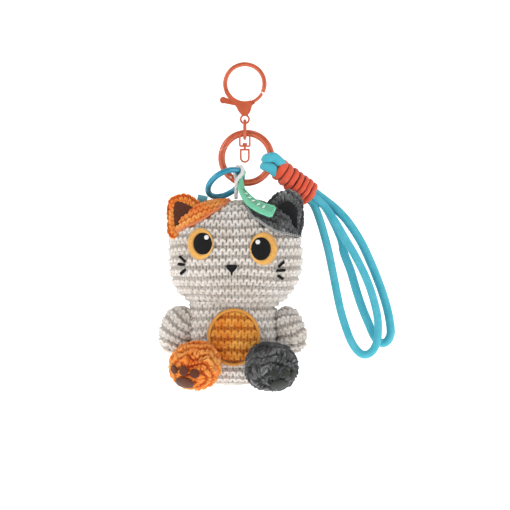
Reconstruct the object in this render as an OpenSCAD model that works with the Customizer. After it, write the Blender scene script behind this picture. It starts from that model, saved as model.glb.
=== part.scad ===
// Plush cat keychain: a knitted cat on a cord loop, hung from a spring ring, a key ring and a
// lobster clasp, with a bound double wrist strap.
// Millimetres. +Z is up, the cat faces -Y. The origin is the highest point inside the clasp's ring,
// where the whole keychain hangs.

/* [Clasp] */
// Inside diameter of the clasp's ring
clasp_bore = 19.5; // [18:0.5:20]
// Wire diameter of the clasp's ring
clasp_wire = 2.5; // [2.2:0.1:2.6]
// Thickness of the clasp's lower body, front to back
clasp_depth = 4.4; // [3.8:0.1:5]

/* [Rings] */
// Mean radius of the key ring
key_ring_radius = 13.9; // [13.8:0.05:14]
// Wire radius of the key ring
key_ring_wire = 1.95; // [1.6:0.05:1.95]
// Mean radius of the spring ring that carries the cat
spring_ring_radius = 10.6; // [10.5:0.05:10.7]
// Wire radius of the spring ring that carries the cat
spring_ring_wire = 1.65; // [1.4:0.05:1.65]

/* [Strap] */
// Radius of the strap's cord
strap_cord = 2.1; // [1.8:0.05:2.1]
// Outer radius of the binding at its ring end
binding_start_radius = 6.4; // [6:0.1:6.6]
// Outer radius of the binding at its loop end
binding_end_radius = 7.2; // [6.6:0.1:7.4]

/* [Cat] */
// Width of the head
head_width = 75; // [72:0.5:76]
// Depth of the head, front to back
head_depth = 60; // [56:0.5:61]
// Height of the head, measured before it is cut off at the neck
head_height = 63; // [62:0.2:63.4]
// Width of the body
body_width = 53; // [50:0.5:54]
// Depth of the body, front to back
body_depth = 44; // [40:0.5:45]
// Height of the body, measured before it is cut off at the neck
body_height = 60; // [58:0.5:61]
// Thickness of the knitted fabric
fabric = 1.6; // [1:0.1:2]

/* [Hidden] */
$fn = 48;

// Colours
coral = [0.86, 0.36, 0.22];
teal = [0.05, 0.53, 0.60];
cyan = [0.27, 0.73, 0.82];
cream = [0.90, 0.87, 0.82];
orange = [0.93, 0.55, 0.20];
charcoal = [0.30, 0.31, 0.33];
mustard = [0.85, 0.62, 0.25];
mint = [0.42, 0.80, 0.66];
black = [0.08, 0.08, 0.09];
brown = [0.28, 0.15, 0.10];
yarn_white = [0.92, 0.91, 0.88];

// Clasp
clasp_mean = (clasp_bore + clasp_wire) / 2;
clasp_centre = -clasp_bore / 2;
rivet_z = -22.7;
rivet_radius = 0.8;
eye_z = -29.6;
eye_mean = 2.35;
eye_wire = 0.55;
slot_half = 1.05;

// Chain link and swivel
link_y = -0.55;
link_top = -34.2;
link_bottom = -36.7;
link_mean = 3.7;
link_wire = 0.75;
swivel_y = -2.8;
bow_mean = 2.8;
bow_wire = 0.5;
bow_z = -39.95;
bow_foot = -44.7;

// Key ring, and the spring ring that carries the cat
key_ring_at = [0.9, 0, -37.34 - key_ring_radius];
key_ring_pin_angle = 231;
key_ring_tip_angle = 165.6;
spring_ring_at = [-11, 0.3, -65.4];
spring_ring_x = unit([0.86, 0, 0.51]);
spring_ring_y = square_to([-0.28, -0.835, 0.473], spring_ring_x);
spring_ring_pin_angle = 227;
spring_ring_tip_angle = 157;

// Hanging loop: it passes over the spring ring's wire at loop_at, bent to loop_bend
loop_cord = 0.95;
loop_at = [-3.45, -2.73, -58.6];
loop_across = [-0.816, 0.578, 0];
loop_up = [0.156, 0.221, 0.963];
loop_bend = 2.8;
loop_back_leg = [
  [-5.0, -0.2, -74.3], [-4.9, -0.6, -72.4], [-4.8, -1.6, -70], [-4.6, -3, -67],
  [-4.6, -3.4, -64.5], [-4.7, -3.3, -62.8], [-5.2, -2.8, -61.2], [-5.6, -1.9, -59.8]
];
loop_front_leg = [
  [-1.6, -5.2, -60.2], [-3, -5.7, -61.8], [-4.6, -5.5, -64], [-4.7, -5.3, -67],
  [-4.8, -4.3, -70], [-5, -2.9, -72.4], [-5.0, -2.5, -74.2]
];

// Tag: a ring round the spring ring's wire, and a strip that runs along tag_route
tag_at = [-2.24, -0.63, -59.5];
tag_axis = [-0.368, -0.83, 0.417];
tag_route = [
  [-2.6, -1.7, -61.75], [-2.4, -3.2, -62.3], [-2.2, -4, -63.6], [-1.9, -4.4, -66.2],
  [-1.5, -6.7, -69], [0.1, -10.8, -71.8], [2.2, -14.6, -74.6], [5.2, -18, -77.2],
  [8.9, -20.6, -79.3], [12.3, -21.8, -80.6], [15.6, -22.4, -81.6]
];
tag_widths = [2.2, 2.2, 2.4, 2.8, 3.6, 4.6, 5.8, 6.6, 7, 7, 6.4];
tag_thickness = 1.8;
tag_end_width = [-0.356, -0.558, -0.744];

// Strap: two bights round the key ring, a binding, and two free loops
bight_angles = [-3.9, -29];
bight_bend = 4.2;
binding_at = [17.8, 2, -56.1];
binding_end = [36.7, 9.5, -72.2];
binding_axis = unit(binding_end - binding_at);
binding_length = norm(binding_end - binding_at);
binding_turns = 7;
binding_bore = 3.5;
strand_spread = 2.1;
front_loop_route = [
  [38.2, 8.4, -76.6], [42.1, 7, -86], [46.6, 6.5, -102], [49.9, 6, -118], [53.6, 6, -136],
  [57.6, 6, -149], [61, 6, -156.4], [64.6, 6, -160.6], [68, 6, -161.6], [71.2, 6, -159.9],
  [73.6, 6, -156], [74.8, 6, -150], [74.5, 6, -140.6], [71.9, 6, -129.2], [67.8, 6, -117.8],
  [62.1, 6, -106.3], [56.4, 6.5, -96.6], [50.7, 7, -86.8], [44.2, 8.4, -77.6]
];
back_loop_route = [
  [41.6, 13, -76], [46, 13.2, -85], [52.3, 13, -97.4], [55.9, 12.6, -104.6], [59.6, 12.5, -114.5],
  [62.9, 12.5, -125.9], [66.2, 12.5, -135.7], [69.4, 12.5, -143.4], [72.4, 12.5, -150.4],
  [75, 12.5, -154], [78.2, 12.5, -155.2], [81, 12.5, -153], [82.2, 12.5, -148.4],
  [80.9, 12.5, -139], [78.2, 12.5, -129], [75, 12.5, -120], [71.1, 12.5, -110.4],
  [65.4, 12.5, -98.2], [58, 12.6, -86.8], [51.5, 13, -79.8], [46.4, 13, -75.6]
];

// Cat: the head and the body are rounded blocks that meet at the neck
head_at = [-5.5, 2.3, -106.1];
head_half = [head_width / 2, head_depth / 2, head_height / 2];
head_square = 2.5;
body_at = [-6.9, 3, -149];
body_half = [body_width / 2, body_depth / 2, body_height / 2];
body_square = 2.6;
neck_z = -131.3;
neck_gap = 0.15;
skin_gap = 0.1;
stuffing_gap = 0.2;

arm_half = [[10, 9.5, 15.5], [9, 9.5, 15]];
arm_at = [[-38.4, -1.8, -149.3], [27.6, -2, -149]];
arm_tilt = [19, -17];
arm_gap = 0.5;
foot_half = [[14.5, 15.5, 14], [15.3, 15.5, 14]];
foot_at = [[-27.3, -24.5, -165.6], [14.6, -24.5, -166.4]];
foot_gap = 2.4;
foot_arm_gap = 0.6;

belly_at = [-6, -151.2];
belly_half = [14.6, 15.9];
border_width = 1.3;

eye_at = [[-24.8, -99.4], [10.7, -102.1]];
eye_half = [[7.15, 8.8], [7.6, 9.1]];
pupil_at = [[-23.5, -99.4], [9, -102.2]];
pupil_half = [[5.3, 6.1], [5.6, 6.45]];
glint_at = [[-20.9, -96], [7.1, -98.5]];
glint_radius = 1.4;
nose_at = [-7.2, -113.4];

orange_edge = [[-44.7, -93.2], [-36.3, -88.2], [-25.1, -83.7], [-16.7, -78.7], [-6.6, -73.6]];
grey_edge = [[-1.4, -73.4], [0.3, -78.2], [4, -84.3], [7.7, -86.7], [13.7, -90.9], [19.7, -93.3], [31, -95.4]];

// ---- Helpers ----

function unit(v) = v / norm(v);
function square_to(v, along) = unit(v - (v * along) * along);
function power(t, e) = sign(t) * pow(abs(t), e);

// Direction of travel at each point of a route
function directions(p) = [for (i = [0:len(p) - 1]) unit(p[min(i + 1, len(p) - 1)] - p[max(i - 1, 0)])];

// A side direction at each point, carried along without twisting
function carried(d, side, i = 0) =
  let (s = square_to(side, d[i]))
  i == len(d) - 1 ? [s] : concat([s], carried(d, s, i + 1));

// Catmull-Rom points: `steps` to each span of a route
function smooth(p, steps) = concat(
  [for (i = [0:len(p) - 2]) for (k = [0:steps - 1])
    let (
      a = p[max(i - 1, 0)],
      b = p[i],
      c = p[i + 1],
      e = p[min(i + 2, len(p) - 1)],
      t = k / steps
    )
    0.5 * (2 * b + (c - a) * t + (2 * a - 5 * b + 4 * c - e) * t * t + (3 * b - 3 * c + e - a) * t * t * t)],
  [p[len(p) - 1]]
);

// A closed skin over rings of equal numbers of points
module skin(rings) {
  n = len(rings[0]);
  last = len(rings) - 1;
  points = [for (ring = rings) for (point = ring) point];
  sides = [for (i = [0:last - 1]) for (k = [0:n - 1])
    let (a = i * n + k, b = i * n + (k + 1) % n)
    each [[b + n, b, a], [a + n, b + n, a]]];
  caps = [[for (k = [0:n - 1]) k], [for (k = [n - 1:-1:0]) last * n + k]];
  polyhedron(points, concat(caps, sides));
}

// A round cord along a route
module cord(route, radius, sides = 8) {
  d = directions(route);
  side = carried(d, [0.31, 0.87, 0.38]);
  skin([for (i = [0:len(route) - 1])
    [for (k = [0:sides - 1])
      let (a = 360 * k / sides)
      route[i] + radius * (cos(a) * side[i] + sin(a) * cross(d[i], side[i]))]]);
}

// A rounded block: half sizes, and how square it is (2 is an ellipsoid)
module rounded_block(half, squareness, around = 32, levels = 16) {
  e = 2 / squareness;
  rings = [for (j = [1:levels - 1])
    let (v = -90 + 180 * j / levels)
    [for (k = [0:around - 1])
      let (u = 360 * k / around)
      [half[0] * power(cos(v), e) * power(cos(u), e),
       half[1] * power(cos(v), e) * power(sin(u), e),
       half[2] * power(sin(v), e)]]];
  skin(concat([tip_ring(rings[0], -half[2])], rings, [tip_ring(rings[levels - 2], half[2])]));
}

// The small flat at the top and bottom of a rounded block
function tip_ring(ring, z) = [for (p = ring) [p[0] * 0.3, p[1] * 0.3, z]];

// Cut soft pieces are one faceted solid each
module soft() {
  resize([0, 0, 0]) children();
}

// Part of a wire ring in the XZ plane, angles counted from +X towards +Z
module wire_arc(mean, wire, from, to) {
  rotate([90, 0, 0]) rotate([0, 0, from]) rotate_extrude(angle = to - from)
    translate([mean, 0]) circle(wire);
}

// A straight round bar between two points
module bar(a, b, radius) {
  v = b - a;
  translate(a) rotate([0, acos(v[2] / norm(v)), atan2(v[1], v[0])])
    cylinder(r = radius, h = norm(v));
}

// A flat outline drawn as [x, z], given depth from y0 back to y1
module facing(y0, y1) {
  rotate([90, 0, 0]) translate([0, 0, -y1]) linear_extrude(y1 - y0) children();
}

module oval(at, half, n = 24) {
  polygon([for (k = [0:n - 1]) at + [half[0] * cos(360 * k / n), half[1] * sin(360 * k / n)]]);
}

// A drawn line of even width through points
module stroke(points, width) {
  for (i = [0:len(points) - 2]) {
    hull() {
      translate(points[i]) circle(d = width, $fn = 8);
      translate(points[i + 1]) circle(d = width, $fn = 8);
    }
  }
}

// Places local XYZ on three given directions
module placed(at, x, y) {
  z = cross(x, y);
  multmatrix([
    [x[0], y[0], z[0], at[0]],
    [x[1], y[1], z[1], at[1]],
    [x[2], y[2], z[2], at[2]],
    [0, 0, 0, 1]
  ]) children();
}

// A block beside a gate's tip, drawn flat in XY. Its faces are square to the line from the pin to the
// tip's outer corner, so a gate cut to that line swings clear; from and to are measured past the corner.
module tip_block(pin_at, corner, from, to, side) {
  v = corner - pin_at;
  translate([pin_at[0], pin_at[1], -side]) rotate([0, 0, atan2(v[1], v[0])])
    translate([norm(v) + from, -side, 0]) cube([to - from, 2 * side, 2 * side]);
}

// ---- Clasp, link and swivel ----

module clasp_body() {
  shield = [
    [-7.8, -19.8], [-6, -21.2], [-4.6, -23], [-3.6, -25.2], [-1.6, -27.4], [1.6, -27.4],
    [3.1, -25.4], [3.9, -22.6], [4.2, -21], [3, -20.4], [-3, -20.4]
  ];
  color(coral) {
    translate([0, 0, clasp_centre]) wire_arc(clasp_mean, clasp_wire / 2, -25, 215);
    translate([0, 0, eye_z]) rotate([90, 0, 0]) rotate_extrude()
      translate([eye_mean, 0]) circle(eye_wire);
    difference() {
      union() {
        translate([0, 0, clasp_centre]) rotate([90, 0, 0]) rotate([0, 0, 200])
          rotate_extrude(angle = 90)
            translate([clasp_mean - clasp_wire / 2, -clasp_depth / 2]) square([clasp_wire, clasp_depth]);
        facing(-clasp_depth / 2, clasp_depth / 2) polygon(shield);
      }
      translate([-20, -slot_half, -25.1]) cube([40, 2 * slot_half, 8.9]);
      translate([0, 0, rivet_z]) rotate([90, 0, 0])
        cylinder(r = rivet_radius + 0.02, h = 10, center = true);
    }
  }
}

module clasp_gate() {
  half = 0.95;
  tip = [0, clasp_centre] + (clasp_mean + half) * [cos(-30.5), sin(-30.5)];
  tab = [[-0.6, -21.4], [-5, -19.3], [-11.5, -17.3], [-12.1, -20.6], [-5.4, -21.9], [-0.6, -24.2]];
  lever = [[0.5, -21.2], [4.6, -18.6], [5.8, -20.6], [1.2, -24.1]];
  color(coral) difference() {
    union() {
      translate([0, 0, rivet_z]) rotate([90, 0, 0]) cylinder(r = 1.85, h = 2 * half, center = true);
      facing(-half, half) polygon(tab);
      facing(-half, half) polygon(lever);
      translate([-12.1, 0, -18.9]) rotate([90, 0, 0]) cylinder(r = 1.9, h = 2 * half, center = true);
      translate([0, 0, clasp_centre]) wire_arc(clasp_mean, half, -62, -20);
    }
    rotate([90, 0, 0]) tip_block([0, rivet_z], tip, 0, 8, 5);
    translate([0, 0, rivet_z]) rotate([90, 0, 0]) cylinder(r = rivet_radius + 0.07, h = 5, center = true);
  }
}

module clasp_rivet() {
  color(coral) translate([0, 0, rivet_z]) rotate([90, 0, 0])
    cylinder(r = rivet_radius, h = clasp_depth, center = true);
}

module clasp_spring() {
  turns = 4;
  low = -24.92;
  high = -23.6;
  steps = 10;
  route = [for (i = [0:turns * steps])
    [-2.7 + 0.55 * cos(36 * i), 0.55 * sin(36 * i), low + (high - low) * i / (turns * steps)]];
  color("silver") cord(route, 0.12, 6);
}

module chain_link() {
  color(coral) translate([0, link_y, 0]) rotate([0, 0, 90]) {
    translate([0, 0, link_top]) wire_arc(link_mean, link_wire, 0, 180);
    translate([0, 0, link_bottom]) wire_arc(link_mean, link_wire, 180, 360);
    for (side = [-1, 1]) {
      translate([side * link_mean, 0, link_bottom])
        cylinder(r = link_wire, h = link_top - link_bottom);
    }
  }
}

module swivel_bow() {
  color(coral) translate([0, swivel_y, 0]) {
    translate([0, 0, bow_z]) wire_arc(bow_mean, bow_wire, 0, 180);
    for (side = [-1, 1]) {
      translate([side * bow_mean, 0, bow_foot]) cylinder(r = bow_wire, h = bow_z - bow_foot);
    }
    difference() {
      union() {
        translate([-bow_mean, -0.8, bow_foot - 0.5]) cube([2 * bow_mean, 1.6, 1]);
        translate([0, 0, bow_foot - 0.5]) cylinder(r = 1.5, h = 1);
      }
      translate([0, 0, bow_foot - 2]) cylinder(r = 0.68, h = 4);
    }
  }
}

module swivel_loop() {
  half = 2.25;
  top = -46.7;
  low = -51.3;
  wire = 0.55;
  color(coral) translate([0, swivel_y, 0]) {
    translate([0, 0, bow_foot + 0.55]) cylinder(r = 1.3, h = 1.2);
    translate([0, 0, top]) cylinder(r = 0.6, h = bow_foot + 0.6 - top);
    translate([-half, 0, top]) rotate([0, 90, 0]) cylinder(r = wire, h = 2 * half);
    for (side = [-1, 1]) {
      translate([side * half, 0, top]) sphere(wire);
      translate([side * half, 0, low]) cylinder(r = wire, h = top - low);
    }
    translate([0, 0, low]) wire_arc(half, wire, 180, 360);
  }
}

// ---- Rings with a sprung gate: drawn flat in XY, the gate runs from tip to pin ----

module gated_ring_body(mean, wire, pin, tip) {
  pin_at = mean * [cos(pin), sin(pin), 0];
  corner = (mean + wire) * [cos(tip), sin(tip), 0];
  lug = 12;
  knuckle = 1.05 * wire;
  difference() {
    rotate([0, 0, pin - lug]) rotate_extrude(angle = 360 - (pin - tip) + lug + 4)
      translate([mean, 0]) circle(wire);
    tip_block(pin_at, corner, -5, 0.15, 6.5);
    translate(pin_at) rotate([0, 0, pin]) difference() {
      translate([-2 * wire, -4 * wire, -2 * wire]) cube([4 * wire, 4 * wire, 4 * wire]);
      cylinder(r = knuckle, h = 5 * wire, center = true);
    }
    translate(pin_at) cylinder(r = wire + 0.35, h = 0.82 * wire, center = true);
    translate(pin_at) cylinder(r = 0.62, h = 3 * wire, center = true);
  }
}

module gated_ring_gate(mean, wire, pin, tip) {
  pin_at = mean * [cos(pin), sin(pin), 0];
  corner = (mean + wire) * [cos(tip), sin(tip), 0];
  lap = 32;
  difference() {
    union() {
      difference() {
        rotate([0, 0, tip - lap]) rotate_extrude(angle = pin - tip + lap) translate([mean, 0]) circle(wire);
        tip_block(pin_at, corner, 0, 10, 12);
        translate(pin_at) cylinder(r = 1.05 * wire + 0.2, h = 4 * wire, center = true);
      }
      intersection() {
        translate(pin_at) cylinder(r = wire + 0.6, h = 0.74 * wire, center = true);
        union() {
          translate(pin_at) cylinder(r = 0.82 * wire, h = wire, center = true);
          rotate([0, 0, pin - 10]) rotate_extrude(angle = 10) translate([mean, 0]) circle(wire * 0.98);
        }
      }
    }
    translate(pin_at) cylinder(r = 0.67, h = 3 * wire, center = true);
  }
}

module gated_ring_pin(mean, wire, pin) {
  translate(mean * [cos(pin), sin(pin), 0]) cylinder(r = 0.6, h = 1.85 * wire, center = true);
}

module on_key_ring() {
  placed(key_ring_at, [1, 0, 0], [0, 0, 1]) children();
}

module on_spring_ring() {
  placed(spring_ring_at, spring_ring_x, spring_ring_y) children();
}

module key_ring_body() {
  color(coral) on_key_ring()
    gated_ring_body(key_ring_radius, key_ring_wire, key_ring_pin_angle, key_ring_tip_angle);
}

module key_ring_gate() {
  color(coral) on_key_ring()
    gated_ring_gate(key_ring_radius, key_ring_wire, key_ring_pin_angle, key_ring_tip_angle);
}

module key_ring_pin() {
  color("silver") on_key_ring() gated_ring_pin(key_ring_radius, key_ring_wire, key_ring_pin_angle);
}

module spring_ring_body() {
  color(teal) on_spring_ring()
    gated_ring_body(spring_ring_radius, spring_ring_wire, spring_ring_pin_angle, spring_ring_tip_angle);
}

module spring_ring_gate() {
  color(teal) on_spring_ring()
    gated_ring_gate(spring_ring_radius, spring_ring_wire, spring_ring_pin_angle, spring_ring_tip_angle);
}

module spring_ring_pin() {
  color("silver") on_spring_ring()
    gated_ring_pin(spring_ring_radius, spring_ring_wire, spring_ring_pin_angle);
}

// ---- Hanging loop, tag and label ----

module hang_loop() {
  bend = [for (a = [0:20:180]) loop_at + loop_bend * (cos(a) * loop_across + sin(a) * loop_up)];
  color(yarn_white) cord(concat(loop_back_leg, bend, loop_front_leg), loop_cord);
}

// Directions across and through the strip at each point of its route
function tag_frames() =
  let (d = directions(tag_route), n = len(d) - 1)
  [for (i = [0:n])
    let (across = square_to((1 - i / n) * tag_axis + (i / n) * tag_end_width, d[i]))
    [across, cross(d[i], across)]];

module silicone_tag() {
  frames = tag_frames();
  color(mint) {
    translate(tag_at)
      rotate([0, acos(tag_axis[2]), atan2(tag_axis[1], tag_axis[0])]) difference() {
        cylinder(r = 2.75, h = 2.2, center = true);
        cylinder(r = spring_ring_wire + 0.2, h = 5, center = true);
      }
    skin([for (i = [0:len(tag_route) - 1])
      let (a = frames[i][0] * tag_widths[i] / 2, b = frames[i][1] * tag_thickness / 2)
      [tag_route[i] + a + b, tag_route[i] - a + b, tag_route[i] - a - b, tag_route[i] + a - b]]);
  }
}

// Raised plain bars on the strip's outer face
module tag_marks() {
  frames = tag_frames();
  d = directions(tag_route);
  color(yarn_white) for (i = [5:9]) {
    mark_at = tag_route[i] + frames[i][1] * (tag_thickness / 2 + 0.35);
    placed(mark_at, d[i], frames[i][0]) cube([1, 0.5 * tag_widths[i], 0.5], center = true);
  }
}

module side_label() {
  color([0.55, 0.80, 0.86]) soft() difference() {
    translate([-24.1, 4.1, -75.2]) rotate([0, 12, 0]) cube([5.6, 1.4, 6.4], center = true);
    head_block(skin_gap);
  }
}

// ---- Strap ----

// One end of the cord's U, just inside the face of the binding
function strand_at(up, side) =
  let (
    back = square_to([0, 1, 0], binding_axis),
    rise = cross(binding_axis, back)
  )
  binding_at + 0.8 * binding_axis + strand_spread * up * rise + 1.75 * strand_spread * side * back;

module bight(angle, up) {
  out = [cos(angle), 0, sin(angle)];
  at = key_ring_at + key_ring_radius * out;
  bend = [for (a = [-50:-20:-270]) at + bight_bend * (cos(a) * out + sin(a) * [0, 1, 0])];
  color(cyan) soft() difference() {
    cord(concat([strand_at(up, -1)], bend, [strand_at(up, 1)]), strap_cord);
    along_binding() translate([-15, -15, -0.1]) cube([30, 30, 10]);
  }
}

module strap_bight_upper() {
  bight(bight_angles[0], 1);
}

module strap_bight_lower() {
  bight(bight_angles[1], -1);
}

module along_binding() {
  back = square_to([0, 1, 0], binding_axis);
  placed(binding_at, cross(back, binding_axis), back) children();
}

module strap_core() {
  color(cyan) along_binding() for (x = [-1, 1]) for (y = [-1, 1]) {
    translate([1.5 * x, 1.5 * y, 0.3]) cylinder(r = 1.35, h = binding_length - 0.6);
  }
}

module strap_binding() {
  pitch = binding_length / binding_turns;
  color(coral) along_binding() rotate_extrude() difference() {
    union() {
      translate([binding_bore, 0]) square([binding_start_radius - binding_bore - 1.2, binding_length]);
      for (i = [0:binding_turns - 1]) {
        grown = (binding_end_radius - binding_start_radius) * i / (binding_turns - 1);
        translate([binding_start_radius + grown - pitch / 2, (i + 0.5) * pitch]) circle(pitch / 2);
      }
    }
    square([2 * binding_bore, 3 * binding_length], center = true);
  }
}

module strap_loop_front() {
  color(cyan) cord(smooth(front_loop_route, 2), strap_cord);
}

module strap_loop_back() {
  color(cyan) cord(smooth(back_loop_route, 2), strap_cord);
}

// ---- Head ----

module head_block(grow) {
  translate(head_at) rounded_block(head_half + [grow, grow, grow], head_square);
}

// A thin layer that lies on the front half of the head
module on_head(from, to) {
  soft() intersection() {
    difference() {
      head_block(to);
      head_block(from);
    }
    facing(-60, head_at[1] - 0.7) children();
  }
}

module below_neck() {
  translate([-80, -80, neck_z + neck_gap - 60]) cube([160, 160, 60]);
}

module head_shell() {
  color(cream) soft() difference() {
    head_block(0);
    head_block(-fabric);
    below_neck();
  }
}

module head_stuffing() {
  color(yarn_white) soft() difference() {
    head_block(-fabric - stuffing_gap);
    below_neck();
  }
}

module head_patch_orange() {
  color(orange) on_head(skin_gap, 0.9) difference() {
    polygon(concat(orange_edge, [[-6.6, -60], [-60, -60]]));
    stroke(orange_edge, 1.5);
  }
}

module head_patch_grey() {
  color(charcoal) on_head(skin_gap, 0.9) difference() {
    polygon(concat(grey_edge, [[60, -95.4], [60, -61], [-1.4, -61]]));
    stroke(grey_edge, 1.5);
  }
}

module head_seam_orange() {
  color([0.95, 0.62, 0.45]) on_head(skin_gap, 1.2) stroke(orange_edge, 1.3);
}

module head_seam_grey() {
  color([0.62, 0.63, 0.65]) on_head(skin_gap, 1.2) stroke(grey_edge, 1.3);
}

// An ear: round ended corners [x, z] in one plane, cut back to the head
module ear(corners, y, radius) {
  soft() difference() {
    hull() for (c = corners) translate([c[0], y, c[1]]) sphere(radius, $fn = 16);
    head_block(1.3);
  }
}

// The felt lining on an ear's flat front
module ear_lining(corners, y) {
  soft() difference() {
    facing(y - 0.9, y - 0.1) offset(r = 1.5, $fn = 16) polygon(corners);
    head_block(1.4);
  }
}

ear_left_corners = [[-40.8, -75.6], [-31.4, -74.6], [-24.4, -79], [-20, -92], [-39.6, -93.4]];
ear_right_corners = [[30.4, -76.6], [23.8, -71.6], [15.4, -75.4], [8, -86], [29.4, -92.4]];
ear_radius = [3.2, 2.6];
ear_y = [-1.4, -3.1];

module ear_left() {
  color(orange) ear(ear_left_corners, ear_y[0], ear_radius[0]);
}

module ear_left_lining() {
  color(brown)
    ear_lining([[-38.6, -79], [-35, -77.2], [-29.6, -80.4], [-31, -83.2], [-36.4, -88.6], [-38, -86.4]],
               ear_y[0] - ear_radius[0]);
}

module ear_right() {
  color(charcoal) ear(ear_right_corners, ear_y[1], ear_radius[1]);
}

module ear_right_lining() {
  color(black)
    ear_lining([[20, -80.6], [21.6, -77.6], [25.4, -76.6], [27.2, -79.4], [28.6, -84], [27.4, -90]],
               ear_y[1] - ear_radius[1]);
}

// Embroidered ring of an eye, open where the pupil sits
module eye(i) {
  color([0.96, 0.72, 0.26]) on_head(skin_gap, 0.9) difference() {
    oval(eye_at[i], eye_half[i]);
    oval(pupil_at[i], pupil_half[i] + [0.1, 0.1]);
  }
}

module pupil(i) {
  color(black) on_head(skin_gap, 1.2) oval(pupil_at[i], pupil_half[i]);
}

module eye_left() {
  eye(0);
}

module eye_right() {
  eye(1);
}

module pupil_left() {
  pupil(0);
}

module pupil_right() {
  pupil(1);
}

module eye_glints() {
  color("white") for (at = glint_at) on_head(1.25, 1.6) oval(at, [glint_radius, glint_radius], 16);
}

module nose() {
  color(black) on_head(skin_gap, 1.2) {
    polygon([nose_at + [-3.2, 2], nose_at + [0, 2.5], nose_at + [3.2, 2],
             nose_at + [2.6, 0.2], nose_at + [0, -1.8], nose_at + [-2.6, 0.2]]);
    translate(nose_at + [-0.5, -3.2]) square([1, 2.4]);
  }
}

module whiskers_left() {
  color(black) on_head(skin_gap, 0.9) {
    stroke([[-36, -106.4], [-32.8, -109.4]], 1.1);
    stroke([[-36.8, -110.7], [-33.3, -111]], 1.1);
    stroke([[-35.4, -116], [-32.7, -113.6]], 1.1);
  }
}

module whiskers_right() {
  color(black) on_head(skin_gap, 0.9) {
    stroke([[21.6, -109.4], [18.6, -112.2]], 1.1);
    stroke([[22.2, -114], [17.7, -114.3]], 1.1);
    stroke([[21, -118.8], [18.3, -117]], 1.1);
  }
}

// Sewing thread that closes the neck
module neck_seam() {
  low = neck_z - 1;
  t = pow(1 - pow((low - body_at[2]) / body_half[2], body_square), 1 / body_square);
  e = 2 / body_square;
  thread = 0.6;
  reach = thread + 0.4;
  n = 36;
  route = [for (k = [0:n])
    let (u = min(360 * k / n, 357))
    [body_at[0] + (body_half[0] * t + reach) * power(cos(u), e),
     body_at[1] + (body_half[1] * t + reach) * power(sin(u), e), low]];
  color(yarn_white) cord(route, thread, 6);
}

// ---- Body, arms, feet and tail ----

module body_block(grow) {
  translate(body_at) rounded_block(body_half + [grow, grow, grow], body_square, 28, 14);
}

module above_neck() {
  translate([-80, -80, neck_z - neck_gap]) cube([160, 160, 60]);
}

module body_shell() {
  color(cream) soft() difference() {
    body_block(0);
    body_block(-fabric);
    above_neck();
  }
}

module body_stuffing() {
  color(yarn_white) soft() difference() {
    body_block(-fabric - stuffing_gap);
    above_neck();
  }
}

module on_body(from, to) {
  soft() intersection() {
    difference() {
      body_block(to);
      body_block(from);
    }
    facing(-60, body_at[1] - 0.7) children();
  }
}

module belly_patch() {
  inner = belly_half - [border_width, border_width];
  color(mustard) on_body(skin_gap, 1.1) oval(belly_at, inner - [0.1, 0.1]);
}

module belly_border() {
  color(orange) on_body(skin_gap, 1.5) difference() {
    oval(belly_at, belly_half);
    oval(belly_at, belly_half - [border_width, border_width]);
  }
}

module arm_block(i, grow) {
  translate(arm_at[i]) rotate([0, arm_tilt[i], 0])
    rounded_block(arm_half[i] + [grow, grow, grow], 2.3, 20, 12);
}

module arm_shell(i) {
  color(cream) soft() difference() {
    arm_block(i, 0);
    arm_block(i, -fabric);
    body_block(arm_gap);
    head_block(arm_gap);
  }
}

module arm_stuffing(i) {
  color(yarn_white) soft() difference() {
    arm_block(i, -fabric - stuffing_gap);
    body_block(arm_gap);
    head_block(arm_gap);
  }
}

module foot_block(i, grow) {
  translate(foot_at[i]) rounded_block(foot_half[i] + [grow, grow, grow], 2.25, 24, 12);
}

module foot_shell(i) {
  color(i == 0 ? orange : charcoal) soft() difference() {
    foot_block(i, 0);
    foot_block(i, -fabric);
    body_block(foot_gap);
    arm_block(i, foot_arm_gap);
  }
}

module foot_stuffing(i) {
  color(yarn_white) soft() difference() {
    foot_block(i, -fabric - stuffing_gap);
    body_block(foot_gap);
    arm_block(i, foot_arm_gap);
  }
}

// Felt pads on a foot's front: ovals of [x, z, half width, half height, tilt]
module paw_pads(i, ovals, shade) {
  color(shade) soft() intersection() {
    difference() {
      foot_block(i, 0.9);
      foot_block(i, skin_gap);
    }
    facing(-60, foot_at[i][1]) for (o = ovals) {
      translate([o[0], o[1]]) rotate(o[4]) oval([0, 0], [o[2], o[3]], 16);
    }
  }
}

module arm_left() {
  arm_shell(0);
}

module arm_left_stuffing() {
  arm_stuffing(0);
}

module arm_right() {
  arm_shell(1);
}

module arm_right_stuffing() {
  arm_stuffing(1);
}

module foot_left() {
  foot_shell(0);
}

module foot_left_stuffing() {
  foot_stuffing(0);
}

module foot_right() {
  foot_shell(1);
}

module foot_right_stuffing() {
  foot_stuffing(1);
}

module paw_pads_left() {
  paw_pads(0, [
    [-39, -168.6, 1.5, 2.5, 10], [-33.6, -169.2, 2.4, 2.8, 0], [-27.4, -170.8, 2.8, 2.6, -10],
    [-33.1, -176.1, 5.3, 2.9, -12]
  ], brown);
}

module paw_pads_right() {
  paw_pads(1, [
    [16.6, -170.6, 2.2, 2.5, 10], [23, -170.6, 2.2, 2.2, 0], [26.8, -171.7, 1.6, 2.5, -10],
    [19.2, -177.5, 4.9, 3.1, 8]
  ], [0.16, 0.19, 0.17]);
}

module tail() {
  color(charcoal) soft() difference() {
    translate([2.3, 25.3, -167.2]) rotate([-28, 0, 0]) rounded_block([5.5, 5.4, 9], 2.3, 18, 10);
    body_block(0.3);
  }
}

// ---- What is drawn ----

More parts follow.
